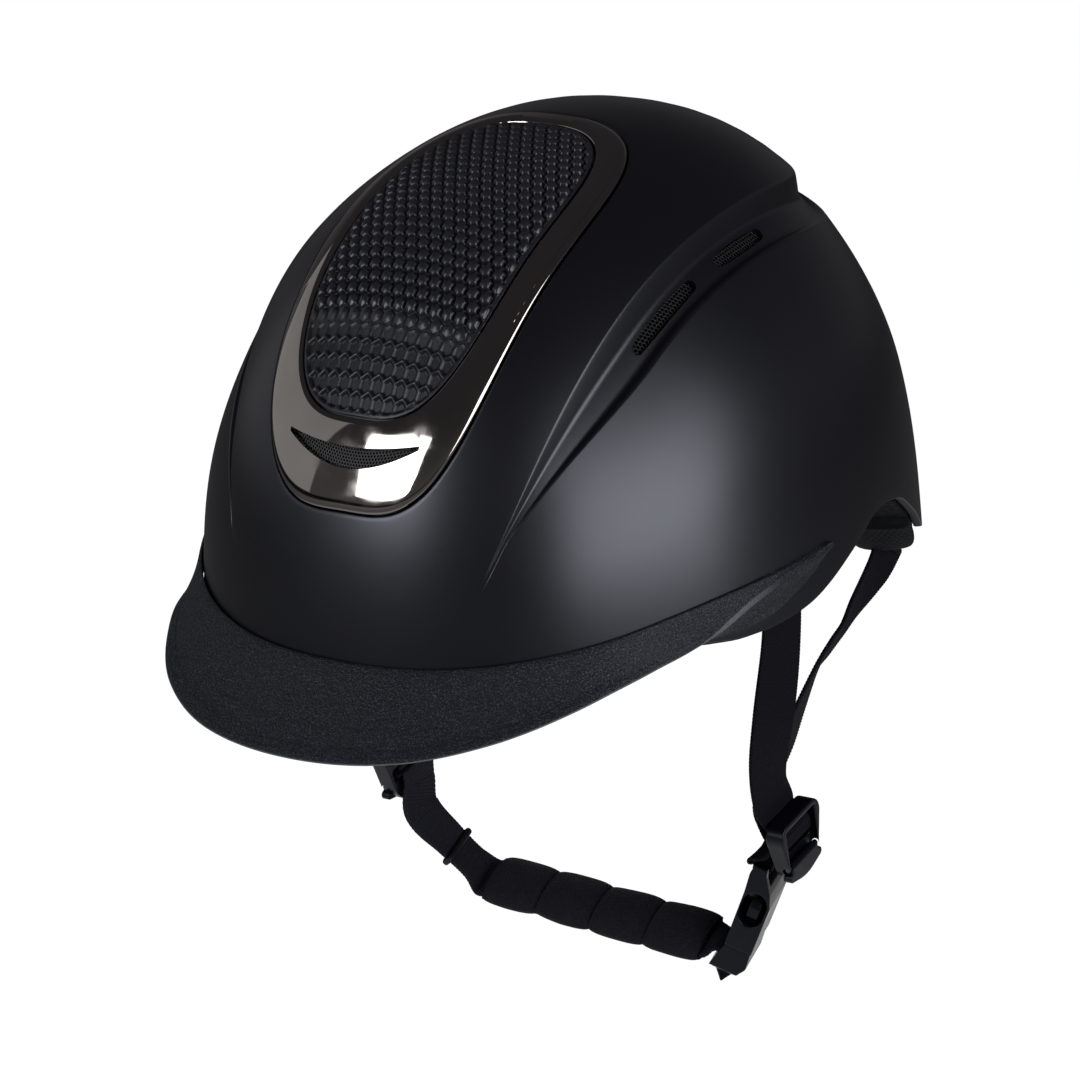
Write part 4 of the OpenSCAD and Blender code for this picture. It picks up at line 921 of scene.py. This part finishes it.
def lining_sheet(drop):
    f = np.linspace(-34, 34, 69)
    s = np.stack(peak_sections(f), 1)
    e, m, k = s[:, 11], s[:, 12], s[:, 13]
    run = unit(np.gradient(s[:, 8], axis=0))
    rows = []
    for t in np.linspace(0.1, 0.9, 15):
        p = mix(e, m, t * 2) if t < 0.5 else mix(m, k, t * 2 - 1)
        rows.append(p + drop * unit(np.cross(unit(k - e), run)))
    return np.array(rows)

low_side, top_side = lining_sheet(1.45), lining_sheet(0.45)
rings = np.concatenate([low_side, top_side[::-1]]).swapaxes(0, 1)
lining = make_piece("peak_cloth", *skin(rings), "peak_lining", 40)
settle(lining, "peak_lining")

# %% [markdown]
# ## Foam liner
# The liner follows the shell from inside and thins towards the sides. Its inner face is what a
# rider sees, so it gets many rings and a rolled lower edge.

# %% Liner
LINER_GAP = 0.4

def liner_depth(q):
    share = (q[..., 1] ** 2 + 400) / (size_of(q) ** 2 + 900)
    return WALL + LINER_GAP + mix(18.0, 27.0, share) * (1 - 0.5 * ease((size_of(q) - 80) / 16))

f = np.arange(0, 360, 1.5)
deepest = liner_depth(rim(f, 0.7))
lip = [at(rim(f, below), lift)
       for below, lift in ((0.7, -WALL - LINER_GAP), (0.72, -WALL - 1.6), (0.72, -deepest + 2.0),
                           (0.55, -deepest + 0.6), (0.2, -deepest))]
under = [toward(f, t) for t in (0.2, 0.4, 0.6, 0.8, 1.0)] + [to_crest(f, t) for t in (0.33, 0.66, 1.0)]
under += [beyond(f, t) for t in np.linspace(0.06, 0.96, 22)]
rings = under_shell(f, [0.42, 0.75], LINER_GAP) + lip + [at(q, -liner_depth(q)) for q in under[::-1]]
pole = CENTRE[None]
points, faces = skin(rings, at(pole, -WALL - LINER_GAP), at(pole, -liner_depth(pole)))
settle(make_piece("foam_liner", points, faces, "liner_foam", 45), "impact_liner")

# %% [markdown]
# ## Comfort pads
# Each pad is a thin cushion on the foam, covered in knit and quilted. A pad starts as a block that
# follows the liner; its face is a puff that falls to a piped edge, with sewn channels between
# the tufts. The seam is what makes it read as cloth, so it is in the shape and not only in the
# material.

# %% Pads on the liner
PAD_THICK, PAD_FILL = 6.9, 0.6

def on_liner(q, lift):
    return at(q, -liner_depth(q) - lift)

def inside(f, phi, lift):
    return on_liner(place(f, phi), lift)

def cushion(piece, node):
    settle(piece, node)

def pad_from(name, node, top, under):
    piece = make_piece(name, *skin(np.concatenate([top, under[:, ::-1]], 1)), "pad_fabric", 60)
    face_outwards(piece)
    cushion(piece, node)

def pad_grid(f0, f1, p0, p1, rows, cols, tufts, side=1):
    u, v = np.meshgrid(np.linspace(0, 1, rows), np.linspace(0, 1, cols), indexing="ij")
    f, phi = mix(f0, f1, u), mix(p0, p1, v)
    edge = (1 - (2 * u - 1) ** 8) * (1 - (2 * v - 1) ** 6)
    quilt = np.abs(np.sin(u * tufts * np.pi)) ** 0.45
    puff = 0.22 + 0.78 * np.maximum(edge, 0) ** 0.4 * (0.72 + 0.28 * quilt)
    return [inside(f, phi, lift) * [side, 1, 1] for lift in (0.9 + PAD_THICK * puff, 0.95)]

pad_from("brow_cushion", "brow_pad", *pad_grid(-52, 52, 64, 80.4, 120, 24, 5))
for side, name in ((1, "left"), (-1, "right")):
    pad_from("side_cushion_" + name, "side_pad_" + name, *pad_grid(64, 96, 44, 68, 48, 40, 2, side))

u, v = np.meshgrid(np.linspace(-1, 1, 49), np.linspace(-1, 1, 65), indexing="ij")
sx, sy = u * np.sqrt(1 - v * v / 2), v * np.sqrt(1 - u * u / 2)
q = np.stack([sx * 26, sy * 34 - 12], -1)
swell = np.maximum(1 - (sx * sx + sy * sy) * 0.999, 0) ** 0.4
seam = 0.78 + 0.22 * np.minimum(np.abs(sx) / 0.16, np.abs(np.abs(sy) - 0.42) / 0.12).clip(0, 1) ** 0.5
puff = on_liner(q, 1.8 + PAD_THICK * (0.2 + 0.8 * swell * seam))
pad_from("crown_cushion", "crown_pad", puff, on_liner(q, 1.85))

# %% [markdown]
# ## Nape pad
# Under the rim at the back a pad of spacer mesh wraps round the nape, between the rear straps. It
# shows in the picture as a soft dark roll with fine holes, so each point carries its place round
# the nape and round the roll, in millimetres, for the pattern of the holes.

# %% Nape pad
NAPE_END, NAPE_DROP, ROUND_NAPE = 53, 1.1, 1.55

def nape_point(f, drop, lift):
    return at(place(180 - f, along(RIM, 180 - np.abs(f)) + drop), lift)

f = np.linspace(-NAPE_END, NAPE_END, 161)
k = np.maximum((1 - (f / (NAPE_END + 0.5)) ** 12) ** 0.5, 0.55)
section = [nape_point(f, 0.1, -4), nape_point(f, 0.3, -3.1)]
section += [nape_point(f, NAPE_DROP + swell * k, lift)
            for swell, lift in ((1.6, -2.9), (2.75, -5), (3.0, -13), (2.5, -21), (1.3, -24.4), (0, -23))]
rings = trimmed(np.stack(section, 1), 3)
nape = make_piece("nape_roll", *skin(rings), "nape_mesh", 60)
round_roll = np.r_[0, np.cumsum(size_of(np.diff(rings[80], axis=0)))]
weave = np.stack(np.broadcast_arrays(f[:, None] * ROUND_NAPE, round_roll, 0.0), -1).reshape(-1, 3)
store(nape, "weave", np.r_[weave, np.zeros((2, 3))])
cushion(nape, "nape_pad")

# %% [markdown]
# ## Straps
# Webbing is a flat ribbon that twists on its way, so a stop of its path has six numbers: its place
# and the direction of its side. A dense ribbon is laid on that path first. It carries its own map
# in metres, and a tree then raises the ribs that cross real webbing. The rear straps are twisted
# so that they show the same share of their width as in the picture.

# %% Ribbon on a path
WEB_W, WEB_T, RIB_PITCH, RIB_HEIGHT = 18.0, 1.5, 1.15, 0.11

def smooth_path(stops, samples):
    h = size_of(np.diff(stops[:, :3], axis=0))
    slopes = np.zeros(stops.shape)
    slopes[1:-1] = (stops[2:] - stops[:-2]) / (h[:-1] + h[1:])[:, None]
    slopes[0], slopes[-1] = (stops[1] - stops[0]) / h[0], (stops[-1] - stops[-2]) / h[-1]
    i = np.clip(samples.astype(int), 0, len(stops) - 2)
    path = curve(stops, slopes, i, (samples - i)[:, None], h[i][:, None])
    return path[:, :3], path[:, 3:]

def even_samples(stops, first, last, pitch):
    rough = np.linspace(first, last, 2000)
    length = np.r_[0, np.cumsum(size_of(np.diff(smooth_path(stops, rough)[0], axis=0)))]
    even = np.linspace(0, length[-1], max(int(length[-1] / pitch), 8))
    return np.interp(even, length, rough), even

def ribbon_piece(name, stops, mirror=1, first=0, last=None, finish="webbing"):
    last = len(stops) - 1 if last is None else last
    samples, length = even_samples(stops, first, last, RIB_PITCH / 5)
    path, side = smooth_path(stops, samples)
    t = unit(np.gradient(path, axis=0))
    s = unit(side - (side * t).sum(1)[:, None] * t)
    m = unit(np.cross(t, s))
    half_w, half_t = WEB_W / 2, WEB_T / 2 - RIB_HEIGHT
    over = [(-half_w + x, 1) for x in (0.45, 1.6, 4)] + [(0, 1)] + [(half_w - x, 1) for x in (4, 1.6, 0.45)]
    outline = over + [(half_w - 0.1, 0.55), (half_w, 0), (half_w - 0.1, -0.55)] + [(x, -y) for x, y in over[::-1]]
    outline += [(-half_w + 0.1, -0.55), (-half_w, 0), (-half_w + 0.1, 0.55)]
    rings = np.stack([path + s * x + m * y * half_t for x, y in outline], 1) * [mirror, 1, 1]
    if mirror < 0:
        rings, outline = rings[:, ::-1], outline[::-1]
    piece = make_piece(name, *skin(rings), finish)
    face_outwards(piece)
    xs, ys = np.array(outline, float).T
    across = np.r_[np.tile(xs, len(length)), 0, 0]
    lengthwise = np.r_[np.repeat(length, len(outline)), 0, length[-1]]
    lift = np.r_[((m * [mirror, 1, 1])[:, None] * ys[:, None]).reshape(-1, 3), np.zeros((2, 3))]
    ends = np.minimum(lengthwise, length[-1] - lengthwise).clip(0, 1)
    corners = [loop.vertex_index for loop in piece.data.loops]
    strip = (np.stack([across, lengthwise], 1)[corners] / 1000).astype(np.float32)
    piece.data.uv_layers.new(name="strip").data.foreach_set("uv", strip.ravel())
    store(piece, "lengthwise", lengthwise / 1000)
    store(piece, "lift", lift * ends[:, None])
    sizes = {"Rib pitch": RIB_PITCH / 1000, "Rib height": RIB_HEIGHT / 1000}
    tree, size_in = new_tree(name + "_ribs", sizes)
    wave = abs((read(tree, "lengthwise") * 3.14159 / size_in["Rib pitch"]).apply("SINE"))
    ribbed = moved(tree, size_in["Geometry"], "lift", (wave * 2 - 1) * size_in["Rib height"])
    close_tree(tree, ribbed, finish)
    run_tree(piece, tree, sizes)
    shade(piece)
    print(name, "is", round(length[-1]), "mm long")
    return piece

# %% Where the straps run
DIVIDER, TILT, ROOM = np.array([78.6, 13, -86.3]), np.radians(15), 0.35
OVER = 1.5 + ROOM + WEB_T / 2
DOWN, ACROSS = np.array([0, np.sin(TILT), -np.cos(TILT)]), np.array([0, np.cos(TILT), np.sin(TILT)])

def on_divider(u, n, v=0):
    return [*(DIVIDER + u * DOWN + v * ACROSS + [n, 0, 0]), *ACROSS]

BUCKLE = np.array([57.7, 19.6, -124.2])
buckle_up = unit(np.array([0.37, 0, 0.93]))
buckle_side = square_to(np.array([-0.3, 0.95, 0]), buckle_up)
buckle_out = np.cross(buckle_side, buckle_up)
HEAD, BAR = -3.0, 1.6 + ROOM + WEB_T / 2

def on_buckle(x, z, way):
    return [*(BUCKLE + x * buckle_out + z * buckle_up), *way]

def liner_spot(f, phi, lift):
    return inside(np.array([f]), np.array([phi]), np.array([lift]))[0]

lift0 = 0.9 + WEB_T / 2 + 0.9
liner_way = unit(liner_spot(95, 74, 2) - liner_spot(89, 74, 2))
front_top = [[*liner_spot(92, 73.4, lift0), *liner_way], [*liner_spot(92, 77, lift0), *liner_way],
             [*liner_spot(91, 81, lift0 + 0.4), 0.16, 1, 0], [83.6, -5, -10, 0.26, 0.96, 0],
             [83.4, -9, -34, 0.34, 0.94, 0], [81, -7.6, -49, 0.25, 0.96, 0.1], [78.2, -1.4, -63, 0.1, 1, 0.2]]
front_top += [on_divider(u, n) for u, n in ((-13, -OVER - 0.1), (-10.8, -OVER + 0.5), (-9.4, 0), (-8, OVER - 0.3),
                                            (-5.8, OVER), (-3.6, OVER - 0.3), (-2.6, 0), (-2, -OVER - 0.2))]
front_low = [on_divider(0.6, -OVER - 3)]
front_low += [on_buckle(HEAD + x, z, buckle_side)
              for x, z in ((-BAR - 0.4, 34), (-BAR, 31.6), (-2.55, 30.2), (-1.7, 28.7), (0, 28.05),
                           (1.7, 28.7), (2.55, 30.2), (BAR, 31.6), (BAR, 34.4))]
rear = [[70.7, 97, 2.0, 0, 0.85, -0.5], [71, 90.2, -2.4, 0, 0.85, -0.5], [71.2, 86.2, -5, 0, 0.7, -0.7],
        [71.8, 80, -8, 0, 0.5, -0.87], [73.5, 67, -12.5, -0.1, 0.36, -0.93], [75, 55.4, -17.3, -0.25, 0.38, -0.88],
        [76, 46.3, -21.7, -0.42, 0.38, -0.82], [76.5, 37.5, -25, -0.51, 0.38, -0.77],
        [77, 30, -30, -0.5, 0.45, -0.73], [77, 22, -38, -0.35, 0.75, -0.55], [76.4, 14, -48, -0.1, 0.97, -0.2],
        [73.8, 5, -62.5, 0, 1, 0.2], on_divider(-14, -OVER - 4.2, 0.3), on_divider(-9, -OVER - 2.8, 0.2),
        on_divider(-5, -OVER - 0.9)]
front_whole, front_top, rear = np.array(front_top + front_low), np.array(front_top), np.array(rear)
REAR_SHOWN = [0.6, 0.62, 0.6, 0.52, 0.36, 0.24, 0.15, 0.1, 0.12, 0.2, 0.3]
axis = np.array(view_back)
for stop, t, share in zip(rear, unit(np.gradient(rear[:, :3], axis=0)), REAR_SHOWN):
    w = square_to(axis, t)
    n = np.cross(t, w)
    c = np.sqrt(1 - share * share)
    choices = [a * c * w + b * share * n for a in (-1, 1) for b in (-1, 1)]
    stop[3:] = max(choices, key=lambda side: np.dot(side, unit(stop[3:])))

for name, stops, mirror in (("front_{}_left", front_whole, 1), ("front_{}_right", front_top, -1),
                            ("rear_{}_left", rear, 1), ("rear_{}_right", rear, -1)):
    settle(ribbon_piece(name.format("web"), stops, mirror), name.format("strap"))

# %% Chin strap
CHIN_NEAR, CHIN_FAR = np.array([45.6, 17, -127.4]), np.array([-50, 25.4, -126])
chin_side = unit(np.array([0, -0.88, -0.48]))

def on_pad(t):
    return mix(CHIN_NEAR, CHIN_FAR, t)

POCKET = -5.6
chin_stops = [on_buckle(x, POCKET, -buckle_side) for x in (-1, -4, -7.2)]
chin_stops += [[*on_pad(t), *chin_side] for t in (0.005, 0.03, 0.5, 0.985)]
chin_stops += [[*on_pad(1.03), 0.03, -0.9, -0.45], [-57, 23.4, -121, 0.16, -0.96, -0.2],
               [-65, 19.4, -112, 0.1, -0.97, -0.2], [-73.2, 14.5, -101, 0, -0.95, -0.31],
               [-75.2, 16, -91.5, 0, -1, -0.25], [-75.0, 15.2, -87.0, 0, -1, -0.22],
               [-75.3, 14.2, -83.4, 0, -1, -0.2]]
chin_stops = np.array(chin_stops)
FREE_FROM = 7
chin_web = ribbon_piece("chin_web", chin_stops, last=FREE_FROM, finish="chin_webbing")
settle(chin_web, "chin_strap")
far_web = ribbon_piece("chin_web_far", chin_stops, first=FREE_FROM, finish="chin_webbing")
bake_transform(far_web)
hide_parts("chin_strap_far")

# %% [markdown]
# ## Chin pad
# A soft sleeve over the chin strap, sewn into four puffs. The sleeve is lofted round the strap; the
# section swells between seams and is pinched hard at each one. A small uneven swell keeps it
# from looking turned on a lathe.

# %% Chin pad
PUFFS, SEWN_END = 4, 0.012
pad_up = unit(np.cross(unit(CHIN_FAR - CHIN_NEAR), chin_side))
t = np.linspace(0, 1, 241)
u = (t * PUFFS) % 1.0
u[-1] = 1.0
puff = 0.05 + 0.95 * np.maximum(1 - np.abs(2 * u - 1) ** 2.8, 0) ** 0.5
puff = np.where(t < SEWN_END, mix(0.3, puff, ease(t / SEWN_END)), puff)
puff = np.where(t > 1 - SEWN_END, mix(0.3, puff, ease((1 - t) / SEWN_END)), puff)
angles = np.radians(np.arange(352.5, -0.1, -7.5))
sag = 1 + 0.03 * np.sin(7 * t[:, None] + 3 * angles[None]) + 0.02 * np.sin(23 * t[:, None] - 2 * angles[None])
sag = np.minimum(sag, 1.0)

def sleeve(share, x, y):
    centre = on_pad(0.01 + 0.98 * np.asarray(share)[..., None])
    return centre[..., None, :] + chin_side * x[..., None] + pad_up * y[..., None]

ring = sleeve(t, np.cos(angles)[None] * mix(9.75, 11.1, puff)[:, None] * sag,
              np.sin(angles)[None] * mix(2.3, 5.1, puff)[:, None] * sag)
mouths = [sleeve(share, np.clip(1.2 * np.cos(angles), -1, 1) * (WEB_W / 2 + 0.4),
                 np.clip(2.1 * np.sin(angles), -1, 1) * (WEB_T / 2 + ROOM)) for share in (1.0, 0.0)]
points, faces = loft([*ring, *mouths], closed=True)
chin_pad = make_piece("chin_sleeve", points, faces, "chin_fabric", 70)
face_outwards(chin_pad)
cushion(chin_pad, "chin_pad")

# %% [markdown]
# ## Moulded and metal pieces
# Dividers, levers, buckle, cradle and dial have the right form in the CAD already. What a moulded
# piece has and a solid lacks is a soft edge, so each one is a merged copy of its node. Dividers,
# levers, socket and plug are well rounded: a fine voxel remesh is smoothed until their edges melt.
# The others have their flat faces joined again and a fine bevel round their edges. The rear
# anchors are also made shorter below.

# %% Soft edges on rigid pieces
def dress(piece, finish):
    piece.data.materials.clear()
    piece.data.materials.append(finishes[finish].material)

def merged_copy(node, finish):
    source = frame["nodes"][node]
    piece = add_object(node + "_moulded", source.data.copy())
    piece.data.transform(source.matrix_world)
    face_outwards(piece, lambda bm: bmesh.ops.remove_doubles(bm, verts=bm.verts, dist=2e-6))
    dress(piece, finish)
    return piece

def rounded_over(node, finish, voxel, rounds):
    piece = merged_copy(node, finish)
    grid = piece.modifiers.new("grid", "REMESH")
    grid.mode, grid.voxel_size, grid.adaptivity = "VOXEL", voxel / 1000, 0.0
    ease_off = piece.modifiers.new("ease", "SMOOTH")
    ease_off.factor, ease_off.iterations = 0.5, rounds
    apply_modifiers(piece)
    dress(piece, finish)
    shade(piece)
    settle(piece, node)

REAR_FROM, SHORTER = 0.075, 0.4

def soft_edged(node, finish, width):
    piece = merged_copy(node, finish)
    if node == "harness_anchors":
        for v in piece.data.vertices:
            if v.co.y > REAR_FROM and v.co.z < 0:
                v.co.z *= SHORTER
    face_outwards(piece, lambda bm: bmesh.ops.dissolve_limit(bm, angle_limit=np.radians(1.2), verts=bm.verts,
                                                             edges=bm.edges))
    bevel = piece.modifiers.new("edge", "BEVEL")
    bevel.width, bevel.segments, bevel.limit_method = width / 1000, 3, "ANGLE"
    bevel.angle_limit, bevel.use_clamp_overlap = np.radians(32), True
    apply_modifiers(piece)
    shade(piece, 40)
    settle(piece, node)

for node, finish, voxel, rounds in (("divider_left", "divider_plastic", 0.26, 14),
                                    ("divider_right", "divider_plastic", 0.26, 14),
                                    ("cam_lever_left", "divider_plastic", 0.22, 16),
                                    ("cam_lever_right", "divider_plastic", 0.22, 16),
                                    ("buckle_socket", "buckle_plastic", 0.27, 14),
                                    ("buckle_plug", "buckle_plastic", 0.25, 8)):
    rounded_over(node, finish, voxel, rounds)
for node, finish, width in (("latch_arm_front", "buckle_plastic", 0.3), ("latch_arm_rear", "buckle_plastic", 0.3),
                            ("harness_anchors", "anchor_plastic", 0.3), ("fit_band_left", "cradle_plastic", 0.3),
                            ("fit_band_right", "cradle_plastic", 0.3), ("nape_cradle", "cradle_plastic", 0.4),
                            ("fit_dial", "dial_plastic", 0.35), ("dial_axle", "pin_metal", 0.2),
                            ("cam_pins", "pin_metal", 0.15)):
    soft_edged(node, finish, width)

# %% [markdown]
# ## Keeper ring and cradle pad
# The ring is moulded rubber round the chin strap, a little thicker in its middle. The cradle pad
# is a thin cushion inside the nape cradle.

# %% Keeper ring
ring_at, ring_side = smooth_path(chin_stops, np.array([8.62, 8.667, 8.71]))
ring_run = unit(ring_at[2] - ring_at[0])
ring_side = square_to(ring_side[1], ring_run)
ring_up = np.cross(ring_run, ring_side)
turns = np.radians(np.arange(0, 360, 6.0))
c, w = np.cos(turns), np.sin(turns)

def keeper_ring(half_w, half_h, shift):
    x, y = half_w * np.sign(c) * np.abs(c) ** 0.35, half_h * np.sign(w) * np.abs(w) ** 0.6
    return ring_at[1] + x[:, None] * ring_side + y[:, None] * ring_up + shift * ring_run

rims = [(9.55, 1.3, 0.9), (10.3, 2.0, 1.1), (10.7, 2.4, 0.7)]
section = [(x, y, -shift) for x, y, shift in rims] + [(10.8, 2.45, 0)] + rims[::-1] + [(9.45, 1.2, 0)]
points, faces = loft([keeper_ring(*row) for row in section], closed=True)
keeper = make_piece("keeper_ring", points, faces, "keeper_rubber")
face_outwards(keeper)
settle(keeper, "strap_keeper")

# %% Cradle pad
CRADLE_R, CRADLE_Y, PAD_LOW = 70, 30, -2.0
a = np.radians(np.linspace(-54, 54, 121))
k = np.maximum((1 - (np.linspace(-12, 12, 121) / 12.6) ** 4) ** 0.5, 0.3) * 5
rings = []
for inward, up in ((0, 2), (0.6, 3), (1, 10), (0.6, 17), (0, 18)):
    r = CRADLE_R - 0.9 - inward * k
    rings.append(np.stack([r * np.sin(a), CRADLE_Y + r * np.cos(a), np.full(len(a), PAD_LOW + up)], -1))
cradle_pad = make_piece("cradle_cushion", *skin(trimmed(np.stack(rings, 1), 3)), "pad_fabric", 60)
cushion(cradle_pad, "cradle_pad")

# %% Sizes and end
print("CAD box", cad_box)
